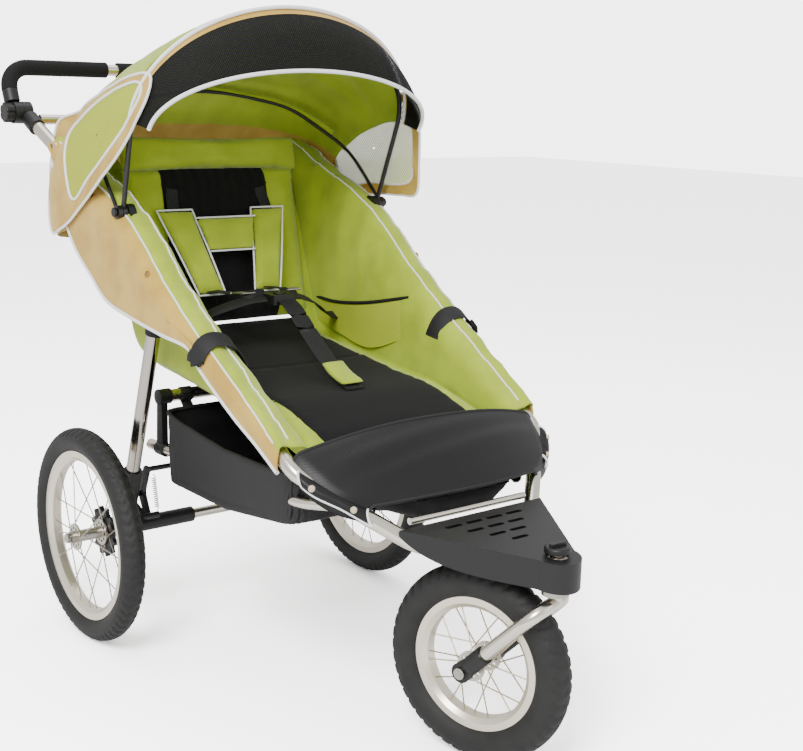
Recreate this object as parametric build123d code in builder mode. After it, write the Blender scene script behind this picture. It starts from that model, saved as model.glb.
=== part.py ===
from build123d import *
from math import atan2, cos, degrees, hypot, radians, sin
import os

os.makedirs("parts", exist_ok=True)

# Three-wheeled jogging stroller, in millimetres. +Z is up, the child faces -Y, and X runs across.
# The origin is on the ground, at the middle of the whole stroller. "s" is the side: -1 or +1.

# wheels
axle_y = 277.4           # rear axle, behind the origin
rear_radius = 200.0      # 16 inch wheel
rear_tyre = 22.5         # half the tyre's width
track_half = 322.0       # middle of each rear wheel
front_radius = 158.0     # 12 1/2 inch wheel
front_tyre = 28.0
head_y = axle_y - 892    # swivel axis of the fork
trail = 125.0            # front axle behind the swivel axis
turned = 17.0            # the front wheel stands turned by this many degrees
spoke_count = 20
spoke_r = 1.1

# frame tubes
tube_r = 12.7
tube_wall = 1.6
small_tube_r = 9.5
bar_r = 11.0
running_gap = 0.05       # a shaft in its bearing
fit_gap = 0.1            # fixed pieces that meet

# rails, seen from the side: straight up to the canopy hub, then a little flatter
hub_y, hub_z, hub_x = axle_y - 78, 772.0, 268.0
knee_y, knee_z, knee_x = axle_y - 582, 445.0, 254.0
rail_slope = (hub_z - knee_z) / (hub_y - knee_y)
hinge_y, hinge_z, hinge_x = axle_y + 318, 962.0, 283.0
tray_y, tray_z = axle_y - 706, 350.0

# rear legs and what folds with them
leg_x = 248.0
leg_lean = 0.322         # how far the leg leans forward for each mm up
pivot_z = 672.0


def leg_y(z):
    return axle_y - 1 - leg_lean * (z - 205)


def rail_z(y):
    return knee_z + rail_slope * (y - knee_y)


pivot_y = leg_y(pivot_z)
canopy_y, canopy_z = hub_y, 803.0


def save(name, part):
    part.label = name
    export_step(part, f"parts/{name}.step")


def tube(points, radii, radius, wall=tube_wall):
    """A bent tube: straight runs joined by arcs."""
    with BuildPart() as bent:
        with BuildLine() as path:
            if len(points) > 2:
                FilletPolyline(*points, radius=radii)
            else:
                Line(*points)
        with BuildSketch(Plane(origin=path.line @ 0, z_dir=path.line % 0)):
            Circle(radius)
            if wall:
                Circle(radius - wall, mode=Mode.SUBTRACT)
        sweep()
    return bent.part


def rod(start, end, radius, bore=0.0):
    """A round bar, or a sleeve, between two points."""
    a, b = Vector(*start), Vector(*end)
    with BuildPart() as bar:
        with BuildSketch(Plane(origin=a, z_dir=b - a)):
            Circle(radius)
            if bore:
                Circle(bore, mode=Mode.SUBTRACT)
        extrude(amount=(b - a).length)
    return bar.part


def side_plate(outline, x_low, x_high, holes=()):
    """A plate lying in a side view: outline and holes are (y, z) and (y, z, radius)."""
    with BuildPart() as plate:
        with BuildSketch(Plane.YZ.offset(x_low)):
            with BuildLine():
                Polyline(*outline, close=True)
            make_face()
            for y, z, radius in holes:
                with Locations((y, z)):
                    Circle(radius, mode=Mode.SUBTRACT)
        extrude(amount=x_high - x_low)
    return plate.part


def join(*parts):
    with BuildPart() as whole:
        for part in parts:
            add(part)
    return whole.part


def cut(part, *tools):
    with BuildPart() as left:
        add(part)
        for tool in tools:
            add(tool, mode=Mode.SUBTRACT)
    return left.part


def group(name, parts):
    """Several equal pieces in one node."""
    solids = [solid for part in parts for solid in part.solids()]
    save(name, Compound(children=solids))


sides = {"left": -1, "right": 1}


# main frame

def rail_points(s):
    return [
        (s * 36, head_y + 32, 324),
        (s * 127, tray_y, tray_z),
        (s * knee_x, knee_y, knee_z),
        (s * hub_x, hub_y, hub_z),
        (s * hinge_x, hinge_y - 24, hinge_z - 11),
    ]


rail_bends = [60, 80, 600]
rail_end_run = Vector(0, hinge_y - 24 - hub_y, hinge_z - 11 - hub_z).normalized()


def rail_sleeve(s, y_low, y_high, radius, bore):
    """A ring round the straight part of a rail, or a bore along it."""
    share_low = (y_low - knee_y) / (hub_y - knee_y)
    share_high = (y_high - knee_y) / (hub_y - knee_y)
    ends = [
        (s * (knee_x + share * (hub_x - knee_x)), knee_y + share * (hub_y - knee_y), knee_z + share * (hub_z - knee_z))
        for share in (share_low, share_high)
    ]
    return rod(*ends, radius, bore)


for name, s in sides.items():
    save(f"{name}_rail", tube(rail_points(s), rail_bends, tube_r))

# footplate: a moulded triangular tray over the rails' front ends, with the steering head at its nose
tray_front_r = 37.0
tray_wall = 3.5
tray_drop = 14.0                       # how far the top falls from back to front
tray_tilt = degrees(atan2(tray_drop, tray_y - head_y))
tray_top = 373.0
tray_plane = Plane(origin=(0, tray_y, tray_top), x_dir=(1, 0, 0), z_dir=(0, -sin(radians(tray_tilt)), cos(radians(tray_tilt))))
tray_long = tray_y - head_y


def tray_outline(inset=0.0):
    with BuildSketch(tray_plane) as outline:
        with BuildLine():
            Polyline((-148, 2), (148, 2), (tray_front_r, -tray_long), (-tray_front_r, -tray_long), close=True)
        make_face()
        with Locations((0, -tray_long)):
            Circle(tray_front_r)
        if inset:
            offset(amount=-inset, mode=Mode.REPLACE)
    return outline.sketch


with BuildPart() as footplate:
    add(tray_outline())
    extrude(amount=-50)
    fillet(footplate.edges().group_by(Axis.Z)[-1], radius=2)
    with BuildSketch(Plane.YZ.offset(-160)):          # the skirt's lower edge sweeps up to nothing at the back
        with BuildLine():
            Spline((tray_y + 6, tray_top - 6), (tray_y - 40, tray_top - 38), (tray_y - 105, tray_top - 54), (head_y - 45, tray_top - 64))
            Polyline((head_y - 45, tray_top - 64), (head_y - 45, 280), (tray_y + 6, 280), (tray_y + 6, tray_top - 6))
        make_face()
    extrude(amount=320, mode=Mode.SUBTRACT)
    with BuildSketch(tray_plane.offset(-4)):
        add(tray_plane.offset(-4).to_local_coords(tray_plane.from_local_coords(tray_outline(tray_wall))))
    extrude(amount=-60, mode=Mode.SUBTRACT)
    with BuildSketch(Plane.XY.offset(311)):            # boss round the steering head
        with Locations((0, head_y)):
            Circle(24)
    extrude(until=Until.NEXT)
    with BuildSketch(tray_plane):                       # drain slots in rows of four, three, two and one
        for row, count in enumerate((4, 3, 2, 1)):
            for column in range(count):
                with Locations(((column - (count - 1) / 2) * 42, -26 - row * 27)):
                    SlotOverall(33, 8)
    extrude(amount=-12, mode=Mode.SUBTRACT)
    with BuildSketch(Plane.XY.offset(290)):
        with Locations((0, head_y)):
            Circle(17 + fit_gap)
    extrude(amount=100, mode=Mode.SUBTRACT)
save("footplate", cut(footplate.part, *[tube(rail_points(s), rail_bends, tube_r + fit_gap, wall=0) for s in sides.values()]))

group("steering_head", [rod((0, head_y, 309), (0, head_y, 356), 17, 11 + running_gap),
                        rod((0, head_y, 299), (0, head_y, 308), 21, 11 + running_gap)])
save("footplate_bar", rod((-120, tray_y + 12, 379), (120, tray_y + 12, 379), 5.5))

# handlebar hinge bases on the rails' upper ends, and the tube between them
hinge_parts = []
for s in sides.values():
    socket_start = Vector(s * hinge_x, hinge_y, hinge_z) - rail_end_run * 62
    socket_end = Vector(s * hinge_x, hinge_y, hinge_z) - rail_end_run * 24
    base = join(
        rod((s * 274, hinge_y, hinge_z), (s * 292, hinge_y, hinge_z), 21),
        rod(tuple(socket_start), tuple(socket_end), 16),
        rod(tuple(socket_end + rail_end_run * 14), tuple(socket_end - rail_end_run * 3), 8.8),
    )
    base = cut(
        base,
        tube(rail_points(s), rail_bends, tube_r + fit_gap, wall=0),
        rod((s * 270, hinge_y, hinge_z), (s * 295, hinge_y, hinge_z), 5 + running_gap),
    )
    hinge_parts.append(base)
group("hinge_bases", hinge_parts)
save("handle_cross_tube", rod((-266.6, hinge_y - 30, hinge_z - 12), (266.6, hinge_y - 30, hinge_z - 12), small_tube_r))

# canopy hubs: a clamp round the rail with a pin that the bows turn on
hub_parts = []
for s in sides.values():
    clamp = join(
        rail_sleeve(s, hub_y - 42, hub_y - 12, 17.5, 0),
        side_plate([(hub_y - 44, rail_z(hub_y - 44) + 4), (hub_y - 10, rail_z(hub_y - 10) + 4),
                    (canopy_y + 12, canopy_z + 4), (canopy_y - 12, canopy_z + 8)],
                   min(s * 260, s * 273), max(s * 260, s * 273)),
        rod((s * 260, canopy_y, canopy_z), (s * 273, canopy_y, canopy_z), 14),
        rod((s * 262, canopy_y, canopy_z), (s * 296, canopy_y, canopy_z), 4),
        rod((s * 293.4, canopy_y, canopy_z), (s * 297, canopy_y, canopy_z), 8),
    )
    hub_parts.append(cut(clamp, tube(rail_points(s), rail_bends, tube_r + fit_gap, wall=0)))
group("canopy_hubs", hub_parts)

# brackets under the rails that the legs hang from
bracket_parts, pin_parts = [], []
for s in sides.values():
    block = side_plate([(pivot_y - 17, 656), (pivot_y + 17, 656), (pivot_y + 17, rail_z(pivot_y + 17)),
                        (pivot_y - 17, rail_z(pivot_y - 17))], min(s * 229, s * 267), max(s * 229, s * 267))
    ring = rail_sleeve(s, pivot_y - 19, pivot_y + 19, 17.5, 0)
    gap = side_plate([(pivot_y - 30, 640), (pivot_y + 30, 640), (pivot_y + 30, pivot_z + 21),
                      (pivot_y - 30, pivot_z + 21)], min(s * 234.5, s * 261.5), max(s * 234.5, s * 261.5))
    pin_hole = rod((s * 220, pivot_y, pivot_z), (s * 275, pivot_y, pivot_z), 4 + fit_gap)
    bracket_parts.append(cut(join(block, ring), rail_sleeve(s, pivot_y - 60, pivot_y + 60, tube_r + fit_gap, 0), gap, pin_hole))
    pin_parts.append(join(rod((s * 229.5, pivot_y, pivot_z), (s * 270, pivot_y, pivot_z), 4),
                          rod((s * 225, pivot_y, pivot_z), (s * 228.8, pivot_y, pivot_z), 7),
                          rod((s * 228.7, pivot_y, pivot_z), (s * 229.6, pivot_y, pivot_z), 4)))
group("leg_brackets", bracket_parts)
group("leg_pivot_pins", pin_parts)

# lower side bars: fixed to the rails in front, and reaching back to the legs
bar_x = 219.0
latch_z = 372.0


def side_bar(s, grow=0.0, wall=tube_wall):
    points = [(s * 150, knee_y - 62, 392), (s * bar_x, knee_y + 40, 386), (s * bar_x, leg_y(latch_z), latch_z)]
    return tube(points, [60], small_tube_r + grow, wall)


for name, s in sides.items():
    save(f"{name}_side_bar", side_bar(s))

# cross tube behind the seat, held up from the side bars by two moulded ends
cross_y, cross_z = leg_y(470) - 14, 470.0
save("rear_cross_tube", rod((-204, cross_y, cross_z), (204, cross_y, cross_z), bar_r))
cross_end_parts = []
for s in sides.values():
    arm = side_plate([(cross_y - 9, cross_z), (cross_y + 9, cross_z), (cross_y + 12, latch_z + 6), (cross_y - 10, latch_z + 6)],
                     min(s * 213, s * 225), max(s * 213, s * 225))
    end = join(rod((s * 204.2, cross_y, cross_z), (s * 228, cross_y, cross_z), 14), arm,
               rod((s * bar_x, cross_y - 16, latch_z + 1), (s * bar_x, cross_y + 12, latch_z + 0.4), small_tube_r + 3))
    cross_end_parts.append(cut(end, side_bar(s, fit_gap, wall=0)))
group("cross_tube_ends", cross_end_parts)

# rear frame: two legs, moulded corner joints, axle tube and wheel pins; it swings forward to fold

def leg_point(s, z):
    return (s * leg_x, leg_y(z), z)


for name, s in sides.items():
    leg = rod(leg_point(s, 264), leg_point(s, pivot_z + 13), tube_r, tube_r - tube_wall)
    save(f"{name}_leg", cut(leg, rod((s * 220, pivot_y, pivot_z), (s * 280, pivot_y, pivot_z), 4 + running_gap)))

brake_pivot = (axle_y - 20, 268.0)
disc_r = 47.5
corner_parts = []
for s in sides.values():
    corner = join(
        rod(leg_point(s, 212), leg_point(s, 322), 17),
        rod((s * 266, axle_y, rear_radius), (s * 104, axle_y, rear_radius), 15),
        side_plate([(axle_y - 70, 228), (axle_y - 60, 244), (axle_y - 8, 262), (axle_y - 2, 214)],
                   min(s * 236, s * 243), max(s * 236, s * 243)),
        rod((s * 243, axle_y - 64, 236), (s * 210, axle_y - 64, 236), 6),
        rod((s * 240, *brake_pivot), (s * 214, *brake_pivot), 5),
    )
    slot = side_plate([(axle_y - 55, 212), (axle_y - 55, 234), (axle_y - 43, 234), (axle_y - 29, 229), (axle_y - 29, 212)],
                      min(s * 225, s * 275), max(s * 225, s * 275))
    corner_parts.append(cut(
        corner,
        rod(leg_point(s, 264), leg_point(s, 340), tube_r + fit_gap),
        rod((s * 238, axle_y, rear_radius), (s * 90, axle_y, rear_radius), small_tube_r + fit_gap),
        rod((s * 270, axle_y, rear_radius), (s * 239, axle_y, rear_radius), 6 + fit_gap),
        slot,
    ))
group("axle_corners", corner_parts)
save("axle_tube", tube([(-237, axle_y, rear_radius), (237, axle_y, rear_radius)], None, small_tube_r))
group("wheel_pins", [
    join(rod((s * 240, axle_y, rear_radius), (s * 362, axle_y, rear_radius), 6),
         rod((s * 361, axle_y, rear_radius), (s * 366, axle_y, rear_radius), 9))
    for s in sides.values()
])

# parking brake: a foot bar across the stroller, with pins that drop into the wheels' notched discs
pin_offset = (-28.7, -40.5)            # a 15 degree press drops the pins 13 mm into the discs' notches
pin_y, pin_z = brake_pivot[0] + pin_offset[0], brake_pivot[1] + pin_offset[1]
bar_top = (brake_pivot[0] - 24, brake_pivot[1] + 52)
brake_pieces = [rod((-223, *bar_top), (223, *bar_top), 5)]
for s in sides.values():
    brake_pieces.append(side_plate(
        [(bar_top[0] - 7, bar_top[1] + 2), (bar_top[0] + 6, bar_top[1] + 6), (brake_pivot[0] + 9, brake_pivot[1] + 2),
         (pin_y + 8, pin_z - 6), (pin_y - 6, pin_z - 4), (brake_pivot[0] - 11, brake_pivot[1] + 4)],
        min(s * 218, s * 226), max(s * 218, s * 226), holes=[(*brake_pivot, 5 + running_gap)]))
    brake_pieces.append(rod((s * 219, pin_y, pin_z), (s * 292, pin_y, pin_z), 4))
save("brake_bar", join(*brake_pieces))
group("brake_springs", [
    rod((s * 213, bar_top[0] - 6.5, bar_top[1] - 9), (s * 213, axle_y - 65, 243.5), 4.5, 2.5) for s in sides.values()
])


# wheels, each drawn about its own axle along X at the origin and then put in place

def ring(profile):
    """Turns a profile of (x, radius) points about the wheel's axle."""
    with BuildPart() as turned_ring:
        with BuildSketch(Plane.XY):
            with BuildLine():
                Polyline(*profile, close=True)
            make_face()
        revolve(axis=Axis.X)
    return turned_ring.part


def tyre(radius, half_width, seat_radius, thickness=4.0):
    with BuildPart() as carcass:
        with BuildSketch(Plane.XY):
            with Locations((0, radius - half_width)):
                Circle(half_width)
                Circle(half_width - thickness, mode=Mode.SUBTRACT)
            with Locations((0, seat_radius - 50)):
                Rectangle(4 * half_width, 100, mode=Mode.SUBTRACT)
        revolve(axis=Axis.X)
    return carcass.part


def rim(flange_radius, half_width):
    bed, crown = flange_radius - 8.5, flange_radius - 19
    return ring([(-half_width, flange_radius), (-half_width, bed - 3), (-half_width + 6, crown), (half_width - 6, crown),
                 (half_width, bed - 3), (half_width, flange_radius), (half_width - 2, flange_radius),
                 (half_width - 2, bed), (-half_width + 2, bed), (-half_width + 2, flange_radius)])


def spokes(flange_x, flange_r, rim_r):
    """Crossed wire spokes, ten from each flange."""
    wires = []
    for i in range(spoke_count):
        side = 1 if i % 2 else -1
        cross = 1 if (i // 2) % 2 else -1
        at_hub = radians(i * 360 / spoke_count - cross * 26)
        at_rim = radians(i * 360 / spoke_count + cross * 4)
        x_hub = side * flange_x + cross * 1.7
        wires.append(rod((x_hub, flange_r * cos(at_hub), flange_r * sin(at_hub)),
                         (side * 2.5, rim_r * cos(at_rim), rim_r * sin(at_rim)), spoke_r))
    return wires


def hub(barrel_r, half_length, flange_x, flange_r, bore):
    with BuildPart() as barrel:
        with BuildSketch(Plane.YZ.offset(-half_length)):
            Circle(barrel_r)
        extrude(amount=2 * half_length)
        for x in (-flange_x - 1.5, flange_x - 1.5):
            with BuildSketch(Plane.YZ.offset(x)):
                Circle(flange_r)
                with PolarLocations(flange_r * 0.68, 10):
                    Circle(flange_r * 0.11, mode=Mode.SUBTRACT)
            extrude(amount=3)
        with BuildSketch(Plane.YZ.offset(-half_length - 1)):
            Circle(bore)
        extrude(amount=2 * half_length + 2, mode=Mode.SUBTRACT)
    return barrel.part


rear_flange = rear_radius - 41.5
front_flange = front_radius - 49.5
for name, s in sides.items():
    place = Location((s * track_half, axle_y, rear_radius))
    save(f"{name}_tyre", tyre(rear_radius, rear_tyre, rear_flange + 0.3).moved(place))
    save(f"{name}_rim", rim(rear_flange, 13.5).moved(place))
    group(f"{name}_spokes", [wire.moved(place) for wire in spokes(25.5, 25.6, rear_flange - 19.5)])
    save(f"{name}_wheel_hub", hub(11, 37, 25.5, 25, 6 + running_gap).moved(place))
    with BuildPart() as disc:
        with BuildSketch(Plane.YZ.offset(-s * 28.5 - 4)):
            Circle(disc_r)
            with PolarLocations(disc_r, 12):
                Circle(9, mode=Mode.SUBTRACT)
            Circle(11 + fit_gap, mode=Mode.SUBTRACT)
        extrude(amount=8)
    save(f"{name}_brake_disc", disc.part.moved(Location((-s * 4.2, 0, 0))).moved(place))

# fork: one bent tube over the wheel, drawn with the wheel straight ahead and then swivelled
wheel_y = trail
axle_up = front_radius
crown_z = 285.0
arm_x = 48.0
crown_run = Vector(0, -trail, crown_z - axle_up).normalized()
swivel = Location((0, head_y, 0), (0, 0, turned))


def on_arm(s, distance):
    point = Vector(s * arm_x, wheel_y, axle_up) + crown_run * distance
    return tuple(point)


fork_points = [on_arm(-1, 22), (-arm_x, 0, crown_z), (arm_x, 0, crown_z), on_arm(1, 22)]
fork_tube = join(tube(fork_points, [38, 38], bar_r, wall=0), rod((0, 0, crown_z), (0, 0, 364), 11))
save("fork_tube", fork_tube.moved(swivel))
fork_end_parts = []
for s in sides.values():
    fork_end = join(rod((s * 40.5, wheel_y, axle_up), (s * 55.5, wheel_y, axle_up), 16), rod(on_arm(s, 16), on_arm(s, 52), 14.5))
    fork_end_parts.append(cut(fork_end, rod(on_arm(s, 21.5), on_arm(s, 60), bar_r + fit_gap),
                              rod((s * 30, wheel_y, axle_up), (s * 66, wheel_y, axle_up), 5 + fit_gap)).moved(swivel))
group("fork_ends", fork_end_parts)
front_axle = join(rod((-62, wheel_y, axle_up), (62, wheel_y, axle_up), 5),
                  *[rod((s * 55.8, wheel_y, axle_up), (s * 61, wheel_y, axle_up), 9) for s in sides.values()])
save("front_axle", front_axle.moved(swivel))

front_place = swivel * Location((0, wheel_y, axle_up))
save("front_tyre", tyre(front_radius, front_tyre, front_flange + 0.3, 5).moved(front_place))
save("front_rim", rim(front_flange, 16).moved(front_place))
group("front_spokes", [wire.moved(front_place) for wire in spokes(24, 24.6, front_flange - 19.6)])
save("front_wheel_hub", hub(11, 39, 24, 24, 5 + running_gap).moved(front_place))

# swivel lock knob on the head
with BuildPart() as knob:
    with BuildSketch(Plane.XY.offset(364.5)):
        with Locations((0, head_y)):
            Circle(20)
    extrude(amount=9)
    fillet(knob.edges().group_by(Axis.Z)[-1], radius=4)
    with BuildSketch(Plane.XY.offset(373)):
        with Locations((0, head_y)):
            Rectangle(30, 7)
    extrude(amount=6)
save("swivel_knob", knob.part)

# handlebar, its foam grips and the hinge rotors that it turns with
bar_x_out = 304.0
bar_y, bar_z = hinge_y + 40, 1048.0
arm_run = Vector(0, bar_y - hinge_y, bar_z - hinge_z).normalized()


def on_handle_arm(s, distance):
    return tuple(Vector(s * bar_x_out, hinge_y, hinge_z) + arm_run * distance)


bar_path = [on_handle_arm(-1, 23), (-bar_x_out, bar_y, bar_z), (bar_x_out, bar_y, bar_z), on_handle_arm(1, 23)]
save("handlebar_tube", tube(bar_path, [46, 46], bar_r))
grip_parts = [tube([on_handle_arm(s, 46), (s * bar_x_out, bar_y, bar_z), (s * 92, bar_y, bar_z)], [46], 15.5, 15.5 - bar_r - fit_gap)
              for s in sides.values()]
grip_parts.append(rod((-66, bar_y, bar_z), (66, bar_y, bar_z), 15.5, bar_r + fit_gap))
group("handle_grips", grip_parts)
rotor_parts = []
for s in sides.values():
    neck = [(Vector(s * 300.7, hinge_y, hinge_z) + arm_run * distance) for distance in (8, 24)]
    rotor = join(rod((s * 292.5, hinge_y, hinge_z), (s * 309, hinge_y, hinge_z), 21),
                 rod(on_handle_arm(s, 20.5), on_handle_arm(s, 45), 15.5), rod(*[tuple(p) for p in neck], 8.1))
    trim = rod((s * 260, hinge_y, hinge_z), (s * 292.4, hinge_y, hinge_z), 70)
    rotor_parts.append(cut(rotor, trim, rod(on_handle_arm(s, 22.8), on_handle_arm(s, 60), bar_r + fit_gap),
                           rod((s * 250, hinge_y, hinge_z), (s * 315, hinge_y, hinge_z), 5 + running_gap)))
group("hinge_rotors", rotor_parts)
for name, s in sides.items():
    with BuildPart() as hand_knob:
        with BuildSketch(Plane.YZ.offset(s * 309.5)):
            with Locations((hinge_y, hinge_z)):
                Circle(19)
                with PolarLocations(21.5, 6):
                    Circle(5, mode=Mode.SUBTRACT)
        extrude(amount=s * 17)
        fillet(hand_knob.faces().sort_by(Axis.X)[-1 if s > 0 else 0].edges(), radius=2)
        with BuildSketch(Plane.YZ.offset(s * 275)):
            with Locations((hinge_y, hinge_z)):
                Circle(5)
        extrude(amount=s * 40)
    save(f"{name}_knob", hand_knob.part)

# canopy bows: hoops that turn on the hubs, drawn upright and then leaned
front_lean, middle_lean, rear_lean = 18.0, -45.0, -63.0


def bow_plane(lean):
    """The plane of a bow: across the stroller and up from the hub axis, leaned forward."""
    up = (0, -sin(radians(lean)), cos(radians(lean)))
    return Plane(origin=(0, canopy_y, canopy_z), x_dir=(1, 0, 0), z_dir=Vector(1, 0, 0).cross(Vector(*up)))


def bow(lean, eye_x, shoulder, wire_r):
    """A hoop from hub to hub: shoulder lists the points of its left half, from the side up to the crown."""
    plane = bow_plane(lean)
    half = [(-eye_x, 10), *shoulder]
    outline = half + [(-x, y) for x, y in reversed(half[:-1])]
    points = [tuple(plane.from_local_coords((x, y, 0))) for x, y in outline]
    hoop = tube(points, [120, 120, 400, 120, 120], wire_r, wall=0)
    eyes = [rod((s * (eye_x - 4), canopy_y, canopy_z), (s * (eye_x + 4), canopy_y, canopy_z), 11.5, 4 + running_gap)
            for s in sides.values()]
    return join(hoop, *eyes)


save("front_bow", bow(front_lean, 278.5, [(-288, 205), (-190, 330), (0, 374)], 4.5))
save("middle_bow", bow(middle_lean, 287.5, [(-280, 140), (-190, 256), (0, 309)], 3.5))


def arch(plane, half, straight, high, grow):
    """A closed arch: straight sides, then half an ellipse."""
    with BuildSketch(plane) as section:
        with BuildLine():
            Polyline((half + grow, straight), (half + grow, 30), (-half - grow, 30), (-half - grow, straight))
            EllipticalCenterArc((0, straight), half + grow, high - straight + grow, arc_size=180)
        make_face()
    return section.sketch


def hood(sections, grow):
    with BuildPart() as shell:
        for plane, half, straight, high in sections:
            add(arch(plane, half, straight, high, grow))
        loft(ruled=True)
    return shell.part


cloth = 3.0
hood_sections = [(bow_plane(15.5), 293, 150, 371), (bow_plane(-15), 294, 140, 348), (bow_plane(-43), 294, 120, 323),
                 (bow_plane(rear_lean), 294, 90, 308)]
inner_sections = [(bow_plane(16.5), 293, 150, 371), *hood_sections[1:3], (bow_plane(rear_lean - 1), 294, 90, 308)]
canopy = cut(hood(hood_sections, 2), hood(inner_sections, 2 - cloth))
save("canopy", canopy)

visor_back, visor_front = bow_plane(21.5), Plane(
    origin=(0, axle_y - 192, 950), x_dir=(1, 0, 0), z_dir=Vector(1, 0, 0).cross(Vector(0, -76, 101).normalized()))


def visor_shell(grow, over):
    with BuildPart() as shell:
        with BuildSketch(visor_back.offset(over)):
            with BuildLine():
                Line((289 + grow, 190), (-289 - grow, 190))
                EllipticalCenterArc((0, 190), 289 + grow, 184 + grow, arc_size=180)
            make_face()
        with BuildSketch(visor_front.offset(-over)):
            with BuildLine():
                Line((288 + grow, 6), (-288 - grow, 6))
                EllipticalCenterArc((0, 6), 288 + grow, 122 + grow, arc_size=180)
            make_face()
        loft(ruled=True)
    return shell.part


save("visor", cut(visor_shell(0, 0), visor_shell(-2.5, 1.5),
                  side_plate([(axle_y - 320, 940), (axle_y - 60, 940), (axle_y - 60, 962), (axle_y - 320, 962)], -283, 283)))

# seat: bottom, side panels over the rails, back and headrest
seat_half = 204.0
back_foot = (axle_y + 16, 566.0)
back_top = (axle_y + 96, 916.0)
with BuildPart() as seat_base:
    with BuildSketch(Plane.YZ.offset(-seat_half)):
        with BuildLine():
            Polyline((back_foot[0] - 8, 548), (axle_y - 60, 541), (axle_y - 222, 520), (axle_y - 400, 506), (axle_y - 545, 462),
                     (axle_y - 545, 436), (axle_y - 400, 468), (axle_y - 222, 484), (axle_y - 60, 500), (back_foot[0] - 8, 506),
                     close=True)
        make_face()
    extrude(amount=2 * seat_half)
save("seat_base", seat_base.part)

back_run = Vector(0, back_top[0] - back_foot[0], back_top[1] - back_foot[1]).normalized()
back_normal = Vector(0, back_run.Z, -back_run.Y)


def back_box(low, high, front, rear, half):
    """A slab along the seat back: low and high run up the back, front and rear through it."""
    foot = Vector(0, *back_foot)
    corners = [foot + back_run * u + back_normal * v for u, v in ((low, front), (high, front), (high, rear), (low, rear))]
    return side_plate([(p.Y, p.Z) for p in corners], -half, half)


back_long = hypot(back_top[0] - back_foot[0], back_top[1] - back_foot[1])
save("seat_back", back_box(0, back_long, 0, 34, 200))
save("headrest", cut(back_box(back_long - 78, back_long + 8, -34, -0.5, 196)))
pad_parts = [side_plate([(axle_y + 36, 812), (axle_y + 30, 822), (axle_y - 96, 664), (axle_y - 88, 656)], s * 62 - 24, s * 62 + 24)
             for s in sides.values()]
pad_parts.append(side_plate([(axle_y + 20, 792), (axle_y + 12, 800), (axle_y - 44, 730), (axle_y - 36, 722)], -37.5, 37.5))
group("harness_pads", pad_parts)

panel_top = 21.5


def panel_line(y, up):
    return (y, rail_z(y) + up if y <= hub_y else hub_z + (y - hub_y) * 0.475 + up)


for name, s in sides.items():
    x_out, x_in = s * 297, s * 232
    outer = side_plate([panel_line(knee_y + 30, panel_top), panel_line(hub_y, panel_top), panel_line(axle_y + 190, panel_top),
                        (axle_y + 150, 760), (axle_y + 60, 706), (axle_y - 35, 645), (axle_y - 236, 613),
                        panel_line(axle_y - 400, -24), panel_line(knee_y + 30, -20)], min(s * 291, x_out), max(s * 291, x_out))
    top = side_plate([panel_line(knee_y + 30, panel_top - 5), panel_line(hub_y, panel_top - 5), panel_line(axle_y + 190, panel_top - 5),
                      panel_line(axle_y + 190, panel_top), panel_line(hub_y, panel_top), panel_line(knee_y + 30, panel_top)],
                     min(x_out, x_in), max(x_out, x_in))
    inner = side_plate([panel_line(knee_y + 30, panel_top), panel_line(hub_y, panel_top), panel_line(axle_y + 40, panel_top),
                        (axle_y + 4, 560), (axle_y - 60, 552), (axle_y - 222, 531), (axle_y - 400, 517), (knee_y + 30, 478)],
                       min(s * 206, s * 224), max(s * 206, s * 224))
    bridge = side_plate([panel_line(knee_y + 30, panel_top - 5), panel_line(hub_y, panel_top - 5), panel_line(axle_y + 40, panel_top - 5),
                         panel_line(axle_y + 40, panel_top), panel_line(hub_y, panel_top), panel_line(knee_y + 30, panel_top)],
                        min(s * 223, s * 233), max(s * 223, s * 233))
    hub_room = side_plate([(hub_y - 52, 735), (hub_y + 34, 770), (hub_y + 34, 840), (hub_y - 52, 840)],
                          min(s * 240, s * 300), max(s * 240, s * 300))
    bracket_room = rail_sleeve(s, pivot_y - 22, pivot_y + 22, 18.5, 0)
    save(f"{name}_side_panel", cut(join(outer, top, inner, bridge), hub_room, bracket_room))

# foot guard over the rails' front bend, and the cloth foot well under it
with BuildPart() as foot_cover:
    with BuildSketch(Plane.YZ.offset(-250)):
        with BuildLine():
            Polyline((knee_y + 22, 474), (knee_y + 18, 480), (tray_y + 16, 412), (tray_y + 16, 407), close=True)
        make_face()
    extrude(amount=500)
    with BuildSketch(Plane.XY.offset(380)):
        with BuildLine():
            Polyline((-250, knee_y + 30), (250, knee_y + 30), (250, knee_y - 6), (150, tray_y + 10), (-150, tray_y + 10),
                     (-250, knee_y - 6), close=True)
        make_face()
    extrude(amount=130, mode=Mode.INTERSECT)
save("foot_cover", foot_cover.part)


def well(inset, low, high):
    with BuildPart() as trough:
        with BuildSketch(Plane.XY.offset(low)):
            with BuildLine():
                Polyline((-190 + inset, axle_y - 550 - inset), (190 - inset, axle_y - 550 - inset), (186 - inset, knee_y + 20),
                         (98 - inset, tray_y + 20 + inset), (-98 + inset, tray_y + 20 + inset), (-186 + inset, knee_y + 20), close=True)
            make_face()
        extrude(amount=high - low)
    return trough.part


save("foot_well", cut(well(0, 360, 455), well(4, 364, 470),
                      side_plate([(knee_y + 50, 478), (tray_y + 8, 398), (tray_y + 8, 500), (knee_y + 50, 500)], -220, 220)))

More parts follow.
